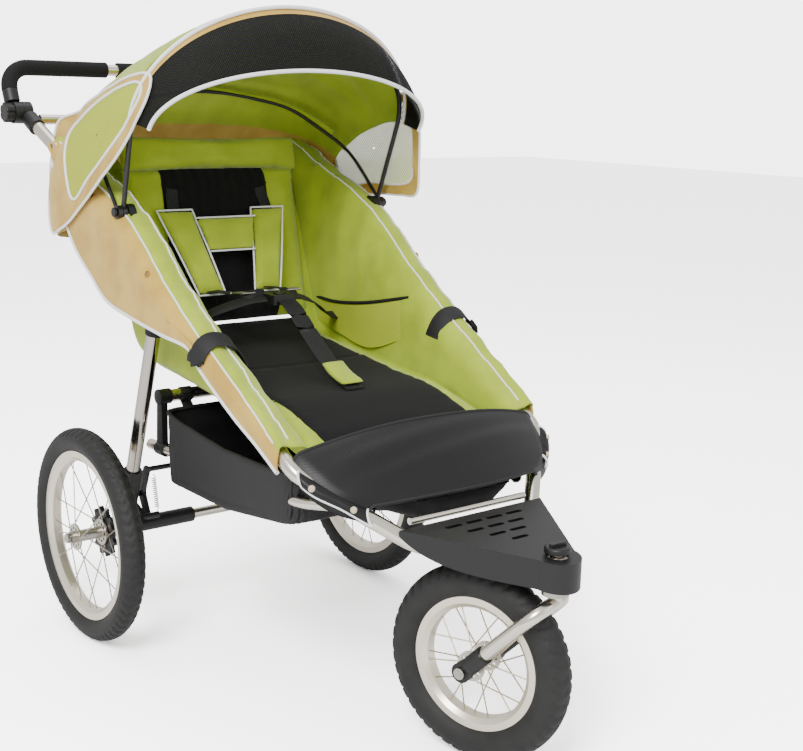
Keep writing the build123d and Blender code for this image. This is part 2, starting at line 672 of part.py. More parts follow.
# basket under the seat, hung from the cross tube and the rails: an open bag
basket_half = 232.0
basket_outline = [(axle_y - 122, 452), (axle_y - 132, 395), (axle_y - 118, 345), (axle_y - 160, 325), (axle_y - 317, 318),
                  (axle_y - 400, 322), (axle_y - 520, 344), (axle_y - 545, 372), (axle_y - 545, 428)]
basket = cut(side_plate(basket_outline, -basket_half, basket_half),
             side_plate([(axle_y - 126, 470), (axle_y - 136, 397), (axle_y - 124, 347), (axle_y - 161, 329), (axle_y - 317, 322),
                         (axle_y - 399, 326), (axle_y - 516, 347), (axle_y - 541, 374), (axle_y - 541, 470)],
                        -basket_half + 4, basket_half - 4),
             *[side_bar(s, fit_gap, wall=0) for s in sides.values()])
save("basket", basket)

# harness buckle with its release button, the lap straps and the crotch strap
buckle_y, buckle_z = axle_y - 150, 640.0
with BuildPart() as buckle:
    with BuildSketch(Plane.XY.offset(buckle_z - 9)):
        with Locations((0, buckle_y)):
            RectangleRounded(52, 44, 8)
    extrude(amount=18)
    with BuildSketch(Plane.XY.offset(buckle_z - 1)):
        with Locations((0, buckle_y)):
            Circle(12.5)
    extrude(amount=20, mode=Mode.SUBTRACT)
save("buckle", buckle.part)
with BuildPart() as button:
    with BuildSketch(Plane.XY.offset(buckle_z + 3.5)):
        with Locations((0, buckle_y)):
            Circle(12)
    extrude(amount=8)
    fillet(button.edges().group_by(Axis.Z)[-1], radius=1.5)
save("buckle_button", button.part)
straps = [
    side_plate([(buckle_y - 23, buckle_z), (buckle_y - 26, buckle_z + 2), (axle_y - 250, 528), (axle_y - 246, 526)], -19, 19),
    *[rod((s * 30, buckle_y + 8, buckle_z), (s * 196, axle_y - 60, 600), 3) for s in sides.values()],
]
group("harness_straps", straps)
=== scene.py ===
import math
import bpy
import numpy as np
from mathutils import Vector
from mathutils import Matrix


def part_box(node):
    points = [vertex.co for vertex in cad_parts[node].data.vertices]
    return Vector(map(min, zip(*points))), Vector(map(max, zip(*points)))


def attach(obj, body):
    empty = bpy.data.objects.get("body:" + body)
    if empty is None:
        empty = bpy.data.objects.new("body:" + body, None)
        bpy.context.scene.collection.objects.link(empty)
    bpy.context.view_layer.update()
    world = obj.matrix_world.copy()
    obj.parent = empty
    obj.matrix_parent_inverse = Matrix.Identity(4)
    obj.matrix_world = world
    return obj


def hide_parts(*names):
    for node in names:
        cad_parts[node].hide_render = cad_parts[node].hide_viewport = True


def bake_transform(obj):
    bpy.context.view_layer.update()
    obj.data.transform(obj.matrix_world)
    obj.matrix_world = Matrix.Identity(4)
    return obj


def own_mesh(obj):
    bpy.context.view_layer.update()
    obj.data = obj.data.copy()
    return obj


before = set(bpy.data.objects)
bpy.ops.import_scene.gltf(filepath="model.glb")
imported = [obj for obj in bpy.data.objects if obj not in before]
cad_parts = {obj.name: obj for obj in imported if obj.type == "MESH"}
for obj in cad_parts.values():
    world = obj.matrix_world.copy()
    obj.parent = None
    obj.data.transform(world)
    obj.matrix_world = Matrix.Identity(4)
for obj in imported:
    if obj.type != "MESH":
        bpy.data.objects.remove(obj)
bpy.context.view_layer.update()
print("model loaded")

mm = 0.001
tyreLow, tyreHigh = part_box("left_tyre")
axleY = (tyreLow.y + tyreHigh.y) / 2      # the rear axle; lengths below run from it, in millimetres
sides = {"left": -1, "right": 1}


def place(points):
    # millimetres from the rear axle to metres in the frame
    return np.asarray(points, float) * mm + np.array([0, axleY, 0])


# camera

camera = dict(turn=-38.9, climb=12.1, roll=1.5, focalPixels=1311.4, spot=(-1332.9, -2168.4, 1015.5))


def setCamera():
    # back points from the object to the lens: (sin a cos e, -cos a cos e, sin e); right and up complete it, then roll
    a, e, r = (math.radians(camera[key]) for key in ("turn", "climb", "roll"))
    back = np.array([math.sin(a) * math.cos(e), -math.cos(a) * math.cos(e), math.sin(e)])
    right = np.array([math.cos(a), math.sin(a), 0])
    up = np.cross(back, right)
    rightRolled = right * math.cos(r) + up * math.sin(r)
    upRolled = -right * math.sin(r) + up * math.cos(r)
    data = bpy.data.cameras.new("camera")
    data.sensor_width = 36
    data.lens = camera["focalPixels"] / 803 * 36
    data.clip_start, data.clip_end = 0.05, 60
    lens = bpy.data.objects.new("camera", data)
    bpy.context.scene.collection.objects.link(lens)
    matrix = Matrix.Identity(4)
    for column, axis in enumerate((rightRolled, upRolled, back)):
        for row in range(3):
            matrix[row][column] = axis[row]
    matrix.translation = place(camera["spot"])
    lens.matrix_world = matrix
    bpy.context.scene.camera = lens


setCamera()

# materials


def linear(hexColor):
    # sRGB hex to linear: c / 12.92 under 0.04045, else ((c + 0.055) / 1.055) ^ 2.4
    parts = np.array([int(hexColor[i:i + 2], 16) for i in (1, 3, 5)]) / 255
    return (*np.where(parts <= 0.04045, parts / 12.92, ((parts + 0.055) / 1.055) ** 2.4), 1.0)


def addNode(tree, kind, settings=(), links=()):
    # one node, its settings (sockets by name, else properties) and what feeds its sockets
    node = tree.nodes.new(kind)
    for key, value in dict(settings).items():
        if key in node.inputs.keys():
            node.inputs[key].default_value = value
        else:
            setattr(node, key, value)
    for key, source in dict(links).items():
        tree.links.new(source, node.inputs[key])
    return node


def finish(name, color, roughness, metallic=0.0, **more):
    material = bpy.data.materials.new(name)
    material.use_nodes = True
    shader = material.node_tree.nodes["Principled BSDF"]
    shader.inputs["Base Color"].default_value = linear(color)
    shader.inputs["Roughness"].default_value = roughness
    shader.inputs["Metallic"].default_value = metallic
    for key, value in more.items():
        shader.inputs[key.replace("_", " ")].default_value = value
    return material


def addColorSpread(material, dark, light, size, detail=3.0):
    # noise between two close shades, so that a large area isn't one flat colour
    tree = material.node_tree
    coordinates = addNode(tree, "ShaderNodeTexCoord")
    noise = addNode(tree, "ShaderNodeTexNoise", {"Scale": 1 / (size * mm), "Detail": detail}, {"Vector": coordinates.outputs["Object"]})
    ramp = addNode(tree, "ShaderNodeValToRGB", {}, {"Fac": noise.outputs["Fac"]})
    ramp.color_ramp.elements[0].position, ramp.color_ramp.elements[1].position = 0.35, 0.65
    ramp.color_ramp.elements[0].color, ramp.color_ramp.elements[1].color = linear(dark), linear(light)
    tree.links.new(ramp.outputs["Color"], tree.nodes["Principled BSDF"].inputs["Base Color"])


def addGrain(material, size, depth, strength=0.5):
    # moulded or foamed grain: noise at the grain's size, as bump
    tree = material.node_tree
    coordinates = addNode(tree, "ShaderNodeTexCoord")
    noise = addNode(tree, "ShaderNodeTexNoise", {"Scale": 1 / (size * mm), "Detail": 2.0}, {"Vector": coordinates.outputs["Object"]})
    bump = addNode(tree, "ShaderNodeBump", {"Strength": strength, "Distance": depth * mm}, {"Height": noise.outputs["Fac"]})
    tree.links.new(bump.outputs["Normal"], tree.nodes["Principled BSDF"].inputs["Normal"])


def addWeave(material, thread, depth, twill=False, strength=0.6):
    # warp and weft as two crossed sine waves on the piece's own UV map, which is in metres; a twill runs on the slant
    tree = material.node_tree
    uv = addNode(tree, "ShaderNodeUVMap", {"uv_map": "UVMap"})
    turned = addNode(tree, "ShaderNodeMapping", {"Rotation": (0, 0, math.radians(45 if twill else 0))}, {"Vector": uv.outputs["UV"]})
    waves = [
        addNode(tree, "ShaderNodeTexWave",
                {"wave_type": "BANDS", "bands_direction": axis, "Scale": 0.31416 / (thread * mm) / (2 if twill and axis == "Y" else 1)},
                {"Vector": turned.outputs["Vector"]})
        for axis in "XY"
    ]
    both = addNode(tree, "ShaderNodeMath", {"operation": "MULTIPLY"}, {0: waves[0].outputs["Fac"], 1: waves[1].outputs["Fac"]})
    bump = addNode(tree, "ShaderNodeBump", {"Strength": strength, "Distance": depth * mm}, {"Height": both.outputs["Value"]})
    tree.links.new(bump.outputs["Normal"], tree.nodes["Principled BSDF"].inputs["Normal"])


def addHoles(material, pitch, cover):
    # net: round holes on a square grid of the pitch, open where the two waves' sum is high
    tree = material.node_tree
    uv = addNode(tree, "ShaderNodeUVMap", {"uv_map": "UVMap"})
    turned = addNode(tree, "ShaderNodeMapping", {"Rotation": (0, 0, math.radians(45))}, {"Vector": uv.outputs["UV"]})
    waves = [
        addNode(tree, "ShaderNodeTexWave", {"wave_type": "BANDS", "bands_direction": axis, "Scale": 0.31416 / (pitch * mm)},
                {"Vector": turned.outputs["Vector"]})
        for axis in "XY"
    ]
    both = addNode(tree, "ShaderNodeMath", {"operation": "ADD"}, {0: waves[0].outputs["Fac"], 1: waves[1].outputs["Fac"]})
    solid = addNode(tree, "ShaderNodeMapRange", {"From Min": 2 * cover - 0.15, "From Max": 2 * cover + 0.15, "To Min": 1.0, "To Max": 0.0},
                    {"Value": both.outputs["Value"]})
    tree.links.new(solid.outputs["Result"], tree.nodes["Principled BSDF"].inputs["Alpha"])


# anodised aluminium tube, drawn and bead-satin: warm silver, with soft long highlights
satinTube = finish("champagneAnodisedTube", "#d9d3c6", 0.24, 1.0)
# polished stainless steel tube on the legs: dark and light bands, sharp highlights
polishedLeg = finish("polishedSteelTube", "#b3aca4", 0.13, 1.0)
# zinc-plated steel of bolts, pins and springs: greyer and rougher
platedSteel = finish("zincPlatedSteel", "#a8a49c", 0.30, 1.0)
# cast and machined aluminium of the wheel hubs
castHub = finish("machinedAluminiumHub", "#bdb8ae", 0.30, 1.0)
# extruded aluminium rims, anodised cream-silver: pale, low contrast
creamRim = finish("creamAnodisedRim", "#e4dcca", 0.30, 0.85)
# brass-washed steel spokes
brassSpoke = finish("brassWashedSpoke", "#b9a98a", 0.28, 1.0)
# lacquered brass press studs
brassStud = finish("brassPressStud", "#a9874a", 0.32, 1.0)
# glass-filled nylon, moulded with a fine spark grain: black with a grey bloom
mouldedNylon = finish("mouldedBlackNylon", "#0a0a0b", 0.46, Specular_IOR_Level=0.45)
addGrain(mouldedNylon, 1.2, 0.05, 0.35)
# black powder-coated steel
powderBlack = finish("powderCoatedBlackSteel", "#0c0c0d", 0.38)
# closed-cell foam grip: matt black, finely pitted
foamGrip = finish("closedCellFoam", "#0c0c0d", 0.85, Specular_IOR_Level=0.3)
addGrain(foamGrip, 2.0, 0.15, 0.6)
# vulcanised tyre rubber, a little dusty
tyreRubber = finish("vulcanisedRubber", "#111110", 0.68)
addColorSpread(tyreRubber, "#0d0d0d", "#161514", 30)
# brushed cotton-polyester canvas, plain weave; threads drawn at 1.6 mm, about three times their size, so that they show
limeCanvas = finish("limeCanvas", "#9aae16", 0.82, Sheen_Weight=0.25, Sheen_Roughness=0.5)
addColorSpread(limeCanvas, "#92a512", "#a3b61e", 60)
addWeave(limeCanvas, 1.6, 0.12)
tanCanvas = finish("tanCanvas", "#bb983c", 0.84, Sheen_Weight=0.2, Sheen_Roughness=0.5)
addColorSpread(tanCanvas, "#b28e34", "#c3a146", 60)
addWeave(tanCanvas, 1.6, 0.12)
blackCanvas = finish("blackCanvas", "#040406", 0.92, Sheen_Weight=0.04, Sheen_Roughness=0.5, Specular_IOR_Level=0.3)
addWeave(blackCanvas, 1.6, 0.12)
# the bag's coated nylon oxford cloth: black with a grey shine on its folds
bagCloth = finish("coatedOxfordCloth", "#0a0a0c", 0.62)
addWeave(bagCloth, 2.0, 0.15)
# vinyl pressed with a twill: slightly glossy black
twillVinyl = finish("twillPressedVinyl", "#040406", 0.45, Specular_IOR_Level=0.35)
addWeave(twillVinyl, 2.4, 0.2, twill=True, strength=0.5)
# polyester webbing, ribbed across
blackWebbing = finish("polyesterWebbing", "#08080a", 0.7)
addWeave(blackWebbing, 2.0, 0.2, twill=True)
# folded white binding tape and piping
whiteBinding = finish("whiteBindingTape", "#e9e9ea", 0.6, Sheen_Weight=0.1)
# warp-knitted nets: round holes; the lime net has a 5 mm pitch, the sunshade's is finer
limeNet = finish("limeNet", "#a9b430", 0.8)
addHoles(limeNet, 5.0, 0.84)
blackNet = finish("blackNet", "#040404", 0.8, Specular_IOR_Level=0.25)
addHoles(blackNet, 3.0, 0.985)
# cream plastic press studs on the foot guard
creamStud = finish("creamPlasticStud", "#c3b698", 0.4)

nodeFinishes = {
    "satinTube": (satinTube, ["left_rail", "right_rail", "left_side_bar", "right_side_bar", "footplate_bar", "handle_cross_tube",
                              "handlebar_tube", "rear_cross_tube", "axle_tube", "fork_tube"]),
    "polishedLeg": (polishedLeg, ["left_leg", "right_leg"]),
    "platedSteel": (platedSteel, ["leg_pivot_pins", "wheel_pins", "front_axle", "steering_head", "left_spokes", "right_spokes"]),
    "castHub": (castHub, ["left_wheel_hub", "right_wheel_hub", "front_wheel_hub"]),
    "creamRim": (creamRim, ["left_rim", "right_rim", "front_rim"]),
    "brassSpoke": (brassSpoke, ["front_spokes"]),
    "mouldedNylon": (mouldedNylon, ["footplate", "hinge_bases", "hinge_rotors", "canopy_hubs", "leg_brackets", "cross_tube_ends",
                                    "axle_corners", "fork_ends", "left_knob", "right_knob", "swivel_knob", "buckle",
                                    "buckle_button", "left_brake_disc", "right_brake_disc"]),
    "powderBlack": (powderBlack, ["brake_bar", "front_bow", "middle_bow"]),
    "foamGrip": (foamGrip, ["handle_grips"]),
}
for material, nodes in nodeFinishes.values():
    for node in nodes:
        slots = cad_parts[node].material_slots
        if not slots:
            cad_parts[node].data.materials.append(material)
        for slot in slots:
            slot.material = material
print("frame finishes set")

# surfaces


def smoothPath(points, count, closed=False):
    # Catmull-Rom curve through the points along the first axis: p1 + t (p2 - p0) / 2 + t^2 (...) + t^3 (...)
    points = np.asarray(points, float)
    n = len(points)
    if closed:
        padded = np.concatenate([points[-1:], points, points[:2]])
        t = np.linspace(0, n, count, endpoint=False)
    else:
        padded = np.concatenate([2 * points[:1] - points[1:2], points, 2 * points[-1:] - points[-2:-1]])
        t = np.linspace(0, n - 1, count)
    k = np.minimum(t.astype(int), n - (1 if closed else 2))
    t = (t - k).reshape((-1,) + (1,) * (points.ndim - 1))
    p0, p1, p2, p3 = (padded[k + i] for i in range(4))
    return p1 + t * (p2 - p0) / 2 + t ** 2 * (p0 - 2.5 * p1 + 2 * p2 - p3 / 2) + t ** 3 * (1.5 * (p1 - p2) + (p3 - p0) / 2)


def gridNormals(points):
    # cross product of the two directions of the grid, to unit length
    normal = np.cross(np.gradient(points, axis=0), np.gradient(points, axis=1))
    return normal / np.maximum(np.linalg.norm(normal, axis=2, keepdims=True), 1e-9)


def ripple(s, lengths, seed):
    # sum of sines of the given wavelengths along s, each with its own fixed phase
    phases = np.random.default_rng(seed).uniform(0, 2 * np.pi, len(lengths))
    return sum(np.sin(2 * np.pi * s / length + phase) for length, phase in zip(lengths, phases)) / len(lengths)


def surface(name, parts, finishes, zones=None, closedU=False, closedV=False, caps=False, thick=0.0, welded=False):
    # one mesh from one grid or several: four-sided faces between neighbouring points, ends closed by one face each
    grids = parts if isinstance(parts, list) else [parts]
    vertices, faces, uvs, indexes = [], [], [], []
    start = 0
    for grid in grids:
        nu, nv = grid.shape[:2]
        i, j = np.meshgrid(np.arange(nu if closedU else nu - 1), np.arange(nv if closedV else nv - 1), indexing="ij")
        corners = [((i + a) % nu) * nv + (j + b) % nv + start for a, b in ((0, 0), (1, 0), (1, 1), (0, 1))]
        faces += np.stack(corners, -1).reshape(-1, 4).tolist()
        indexes += (np.zeros(i.size, int) if zones is None else zones(i / (nu - 1), j / (nv - 1), grid).astype(int).ravel()).tolist()
        if caps:
            faces += [(start + np.arange(nv)[::-1]).tolist(), (start + (nu - 1) * nv + np.arange(nv)).tolist()]
            indexes += [0, 0]
        along = np.linalg.norm(np.diff(grid, axis=0), axis=2).mean(1)
        across = np.linalg.norm(np.diff(grid, axis=1), axis=2).mean(0)
        u, v = np.meshgrid(np.r_[0, along.cumsum()], np.r_[0, across.cumsum()], indexing="ij")
        uvs.append(np.stack([u, v], -1).reshape(-1, 2) * mm)
        vertices.append(place(grid).reshape(-1, 3))
        start += nu * nv
    mesh = bpy.data.meshes.new(name)
    mesh.from_pydata(np.concatenate(vertices).tolist(), [], faces)
    loops = np.zeros(len(mesh.loops), int)
    mesh.loops.foreach_get("vertex_index", loops)
    layer = mesh.uv_layers.new(name="UVMap")
    layer.data.foreach_set("uv", np.concatenate(uvs)[loops].ravel())
    mesh.polygons.foreach_set("material_index", indexes)
    mesh.polygons.foreach_set("use_smooth", np.ones(len(mesh.polygons), bool))
    for material in finishes:
        mesh.materials.append(material)
    mesh.update()
    piece = bpy.data.objects.new(name, mesh)
    bpy.context.scene.collection.objects.link(piece)
    if welded:
        weld = piece.modifiers.new("weld", "WELD")
        weld.merge_threshold = 0.00002
    if thick:
        wall = piece.modifiers.new("wall", "SOLIDIFY")
        wall.thickness, wall.offset = thick * mm, 0
    if welded or thick:
        settle(piece)
    return piece


def settle(piece):
    # the mesh as its modifiers leave it, and no modifiers
    evaluated = piece.evaluated_get(bpy.context.evaluated_depsgraph_get())
    mesh = bpy.data.meshes.new_from_object(evaluated)
    piece.modifiers.clear()
    piece.data = mesh


def carried(path, radius, sides=10, closed=False, reference=(1, 0.03, 0.02), flat=1.0):
    # circle carried along a path: centre + r (n cos a + b sin a), n and b square to the path; flat thins it along n
    path = np.asarray(path, float)
    tangent = np.roll(path, -1, 0) - np.roll(path, 1, 0) if closed else np.gradient(path, axis=0)
    tangent /= np.linalg.norm(tangent, axis=1, keepdims=True)
    normal = np.cross(tangent, reference)
    normal /= np.linalg.norm(normal, axis=1, keepdims=True)
    binormal = np.cross(normal, tangent)
    turn = np.linspace(0, 2 * np.pi, sides, endpoint=False)[None, :, None]
    r = np.broadcast_to(np.asarray(radius, float), len(path))[:, None, None]
    return path[:, None] + r * (normal[:, None] * np.cos(turn) * flat + binormal[:, None] * np.sin(turn))


def cordTube(name, paths, radius, material, slot, closed=False, sides=10, **more):
    # piping or binding: a round section along each path
    grids = [carried(path, radius, sides, closed, **more) for path in paths]
    return surface(name, grids, [material], closedU=closed, closedV=True, caps=not closed)


def strap(name, paths, width, thickness, material, facing):
    # webbing: a flat section carried along each path, its width across the path and square to the facing direction
    grids = []
    for path in paths:
        path = np.asarray(path, float)
        tangent = np.gradient(path, axis=0)
        tangent /= np.linalg.norm(tangent, axis=1, keepdims=True)
        out = np.broadcast_to(np.asarray(facing, float), path.shape)
        out = out - (out * tangent).sum(1, keepdims=True) * tangent
        out /= np.linalg.norm(out, axis=1, keepdims=True)
        across = np.cross(tangent, out)
        corners = [(-1, -0.6), (-0.94, -1), (0.94, -1), (1, -0.6), (1, 0.6), (0.94, 1), (-0.94, 1), (-1, 0.6)]
        grid = np.stack([path + across * a * width / 2 + out * b * thickness / 2 for a, b in corners], 1)
        grids.append(grid)
    return surface(name, grids, [material], closedV=True, caps=True)


def puffUp(piece, voxel, pressure, cap):
    # inflates a closed form as stuffed cloth for twenty frames, each point held to the cap
    remesh = piece.modifiers.new("remesh", "REMESH")
    remesh.mode, remesh.voxel_size, remesh.use_smooth_shade = "VOXEL", voxel * mm, True
    settle(piece)
    before = np.zeros(len(piece.data.vertices) * 3)
    piece.data.vertices.foreach_get("co", before)
    cloth = piece.modifiers.new("cloth", "CLOTH")
    cloth.settings.use_pressure = True
    cloth.settings.uniform_pressure_force = pressure
    cloth.settings.quality = 4
    cloth.settings.effector_weights.gravity = 0
    cloth.point_cache.frame_start, cloth.point_cache.frame_end = 1, 20
    scene = bpy.context.scene
    for step in range(1, 21):
        scene.frame_set(step)
    settle(piece)
    scene.frame_set(1)
    after = np.zeros(len(before))
    piece.data.vertices.foreach_get("co", after)
    move = (after - before).reshape(-1, 3)
    far = np.linalg.norm(move, axis=1, keepdims=True)
    move *= np.minimum(1, cap * mm / np.maximum(far, 1e-9))
    piece.data.vertices.foreach_set("co", (before.reshape(-1, 3) + move).ravel())
    piece.data.update()


def pad(name, middle, out, half, finishes, voxel=5.0, pressure=4.0, cap=8.0, zones=None, edge=0.35):
    # closed pillow: middle surface plus and minus half thickness times (1 - |u|^6)^edge (1 - |v|^6)^edge
    nu, nv = middle.shape[:2]
    u, v = np.meshgrid(np.linspace(-1, 1, nu), np.linspace(-1, 1, nv), indexing="ij")
    swell = ((1 - np.abs(u) ** 6) * (1 - np.abs(v) ** 6))[..., None] ** edge
    front, back = middle + out * half * swell, middle - out * half * swell
    grid = np.concatenate([front, back[:, -2:0:-1]], 1)
    piece = surface(name, grid, [finishes[0]], closedV=True, welded=True)
    puffUp(piece, voxel, pressure, cap)
    piece.data.materials.clear()
    for material in finishes:
        piece.data.materials.append(material)
    return piece


def readPoints(piece):
    points = np.zeros(len(piece.data.vertices) * 3)
    piece.data.vertices.foreach_get("co", points)
    return (points.reshape(-1, 3) - [0, axleY, 0]) / mm


def writePoints(piece, points):
    piece.data.vertices.foreach_set("co", place(points).ravel())
    piece.data.update()


def mapFlat(piece, alongAxis, acrossAxis):
    # UV map in metres, laid flat on two directions, for the weave
    points = readPoints(piece) * mm
    flat = np.stack([points @ np.asarray(alongAxis, float), points @ np.asarray(acrossAxis, float)], -1)
    loops = np.zeros(len(piece.data.loops), int)
    piece.data.loops.foreach_get("vertex_index", loops)
    layer = piece.data.uv_layers.get("UVMap") or piece.data.uv_layers.new(name="UVMap")
    layer.data.foreach_set("uv", flat[loops].ravel())


def paintZones(piece, rule):
    # material index of each face from its middle point
    centers = np.zeros(len(piece.data.polygons) * 3)
    piece.data.polygons.foreach_get("center", centers)
    centers = (centers.reshape(-1, 3) - [0, axleY, 0]) / mm
    piece.data.polygons.foreach_set("material_index", rule(centers).astype(int))
    piece.data.polygons.foreach_set("use_smooth", np.ones(len(centers), bool))


# tyres: a round section turned about the axle, radius R + r cos b, its crown cut across by shallow grooves

tyres = {
    "left": dict(node="left_tyre", body="left_wheel", halfWidth=22.5, grooves=64, turned=0.0),
    "right": dict(node="right_tyre", body="right_wheel", halfWidth=22.5, grooves=64, turned=0.0),
    "front": dict(node="front_tyre", body="front_wheel", halfWidth=28.0, grooves=46, turned=17.0),
}


def makeTyre(name, settings):
    low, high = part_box(settings["node"])
    center = (np.array(low) + np.array(high)) / 2 / mm - [0, axleY / mm, 0]
    outer = (high.z - low.z) / 2 / mm
    r = settings["halfWidth"] - 0.6
    around, section = np.meshgrid(np.linspace(0, 2 * np.pi, 6 * settings["grooves"], endpoint=False),
                                  np.linspace(-np.pi, np.pi, 56, endpoint=False), indexing="ij")
    crown = np.clip(1.15 - np.abs(section), 0, 0.12) / 0.12
    slant = settings["grooves"] * (around + 0.035 * np.sin(3 * section))
    cut = (np.cos(slant) > 0.45) * (np.abs(section) > 0.14)
    ribs = 0.7 * np.exp(-((np.abs(section) - 1.42) / 0.05) ** 2) + 0.5 * np.exp(-((np.abs(section) - 1.85) / 0.04) ** 2)
    center0 = outer - settings["halfWidth"]
    radial = center0 + (r + crown * (0.6 - 2.0 * cut) + ribs) * np.cos(section)
    across = (r + crown * (0.6 - 2.0 * cut) + ribs) * np.sin(section)
    turn = math.radians(settings["turned"])
    y, z = radial * np.cos(around), radial * np.sin(around)
    points = np.stack([across * math.cos(turn) - y * math.sin(turn), across * math.sin(turn) + y * math.cos(turn), z], -1) + center
    piece = surface(name + "TreadedTyre", points, [tyreRubber], closedU=True, closedV=True)
    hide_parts(settings["node"])
    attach(piece, settings["body"])


for name, settings in tyres.items():
    makeTyre(name, settings)
print("tyres made")

# canopy: hoops about the hub line, from the front bow back and down to the drape's lower edge

hood = dict(hubY=-78.0, hubZ=803.0, half=293.0,
            lean=(17.0, 4.0, -10.0, -25.0, -45.0, -63.0, -80.0, -104.0), high=(372, 338, 312, 306, 318, 328, 358, 352),
            straight=(165, 158, 150, 150, 158, 180, 200, 195), square=(2.0, 2.05, 2.1, 2.2, 2.4, 2.7, 2.9, 3.2))


def hoodShape(lean):
    return (np.interp(lean, hood["lean"][::-1], hood[key][::-1]) for key in ("high", "straight", "square"))


def hoodPoints(lean, share):
    # hoop at a lean: straight sides up to the spring line, then (cos, sin) of the share to the power 2 / n
    lean, share = np.broadcast_arrays(np.asarray(lean, float), np.asarray(share, float))
    high, straight, square = hoodShape(lean)
    turn = np.pi * share
    x = -np.sign(np.cos(turn)) * np.abs(np.cos(turn)) ** (2 / square) * hood["half"]
    r = straight + (high - straight) * np.abs(np.sin(turn)) ** (2 / square)
    return onHub(x, lean, r)


def onHub(x, lean, r):
    # a point at distance r from the hub line, leaned forward from upright
    angle = np.radians(lean)
    return np.stack(np.broadcast_arrays(x, hood["hubY"] - r * np.sin(angle), hood["hubZ"] + r * np.cos(angle)), -1)


def hoodSide(s, off, points):
    # points given in side view as (y, z), laid on the hood: |x| / half = (1 - ((r - straight) / (high - straight)) ^ n) ^ (1 / n)
    points = np.asarray(points, float)
    dy, dz = points[..., 0] - hood["hubY"], points[..., 1] - hood["hubZ"]
    r = np.hypot(dy, dz)
    high, straight, square = hoodShape(np.degrees(np.arctan2(-dy, dz)))
    rise = np.clip((r - straight) / (high - straight), 0, 0.6)
    x = s * (hood["half"] * (1 - rise ** square) ** (1 / square) + off + 8 * np.clip((950 - points[..., 1]) / 90, 0, 1))
    return np.concatenate([x[..., None], points], -1)


def followHood(piece):
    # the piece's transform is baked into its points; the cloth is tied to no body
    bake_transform(piece)


# lime roof, in four panels by its seams; slight sag between the bows
leans, shares = np.meshgrid(np.linspace(16.5, -104, 70), np.linspace(0, 1, 90), indexing="ij")
roof = hoodPoints(leans, shares)
sag = 3 * np.abs(np.sin(np.pi * (leans - 17) / 31)) * np.sin(np.pi * shares) ** 0.5
roof -= gridNormals(roof) * sag[..., None] * np.sign(gridNormals(roof)[0, 45, 2])
roof[..., 2] += 1.2 * ripple(shares * 900, (60, 37, 90), 3) * np.sin(np.pi * shares)
roofPiece = surface("canopyRoof", roof, [limeCanvas, tanCanvas], thick=1.2,
                    zones=lambda u, v, grid: u > 0.66)
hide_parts("canopy")
followHood(roofPiece)

# cloth sleeve round the middle bow, bare near the hubs
across = np.concatenate([smoothPath(np.array([(-287.5, 0), (-280, 140), (-190, 256), (0, 309)], float), 60),
                         smoothPath(np.array([(0, 309), (190, 256), (280, 140), (287.5, 0)], float), 60)[1:]])
across = across[np.abs(across[:, 0]) < 262]
sleeve = cordTube("bowSleeve", [onHub(across[:, 0], -45.0, across[:, 1])], 6.5, limeCanvas, "lime_fabric")
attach(sleeve, "middle_canopy_bow")

# side curtains: tan between the outer edge and a net window, both edges bound in white; the right one hangs straighter
curtain = dict(
    left=[(-180, 984), (-121, 914), (-24, 842), (40, 800), (82, 774), (122, 756), (160, 744), (186, 764), (208, 806), (216, 860), (214, 905),
          (200, 950), (130, 968), (50, 990), (-40, 1018), (-120, 1036), (-172, 1034)],
    right=[(-180, 984), (-184, 940), (-178, 880), (-170, 826), (-120, 820), (-60, 818), (10, 808), (82, 774), (122, 756), (160, 744), (186, 764),
           (208, 806), (216, 860), (214, 905), (200, 946), (120, 958), (40, 980), (-60, 1006), (-140, 1018)],
    leftWindow=[(-164, 1000), (-132, 956), (-40, 886), (10, 850), (52, 818), (76, 820), (92, 858), (103, 900), (96, 936), (52, 962), (-10, 992),
                (-80, 1014), (-146, 1024)],
    rightWindow=[(-160, 972), (-160, 900), (-152, 850), (-90, 838), (-20, 838), (58, 822), (76, 826), (92, 858), (102, 900), (94, 934), (40, 958),
                 (-20, 978), (-90, 1000), (-136, 1002)],
)


def closedLoop(points, count):
    # evenly spaced by length, so that two loops match point for point
    curve = smoothPath(points, 600, closed=True)
    length = np.r_[0, np.linalg.norm(np.diff(np.concatenate([curve, curve[:1]]), axis=0), axis=1).cumsum()]
    wrapped = np.concatenate([curve, curve[:1]])
    at = np.linspace(0, length[-1], count, endpoint=False)
    return np.stack([np.interp(at, length, wrapped[:, k]) for k in range(wrapped.shape[1])], 1)


for name, s in sides.items():
    outer, window = closedLoop(curtain[name], 160), closedLoop(curtain[name + "Window"], 160)
    shift = int(np.argmin(np.linalg.norm(window - outer[0], axis=1)))
    window = np.roll(window, -shift, 0)
    steps = np.linspace(0, 1, 14)[:, None, None]
    depth = np.sin(np.pi * steps[..., 0])
    band = hoodSide(s, 2.5 + 2.2 * depth * ripple(np.arange(160) * 7.0, (70, 45, 110), 5), outer * (1 - steps) + window * steps)
    band = band if s < 0 else band[:, ::-1]
    bandPiece = surface(name + "CurtainBand", band, [tanCanvas], closedV=True, thick=1.2)
    middle = window.mean(0)
    net = hoodSide(s, 2.5, middle + (window - middle) * np.linspace(1, 0.02, 10)[:, None, None])
    net = net if s < 0 else net[:, ::-1]
    netPiece = surface(name + "CurtainNet", net, [limeNet], closedV=True)
    mapFlat(netPiece, (0, 1, 0), (0, 0, 1))
    edges = [hoodSide(s, 4.0, outer), hoodSide(s, 4.0, window)]
    binding = cordTube(name + "CurtainBinding", edges, 2.5, whiteBinding, None, closed=True, reference=(1, 0, 0))
    for piece in (bandPiece, netPiece, binding):
        followHood(piece)

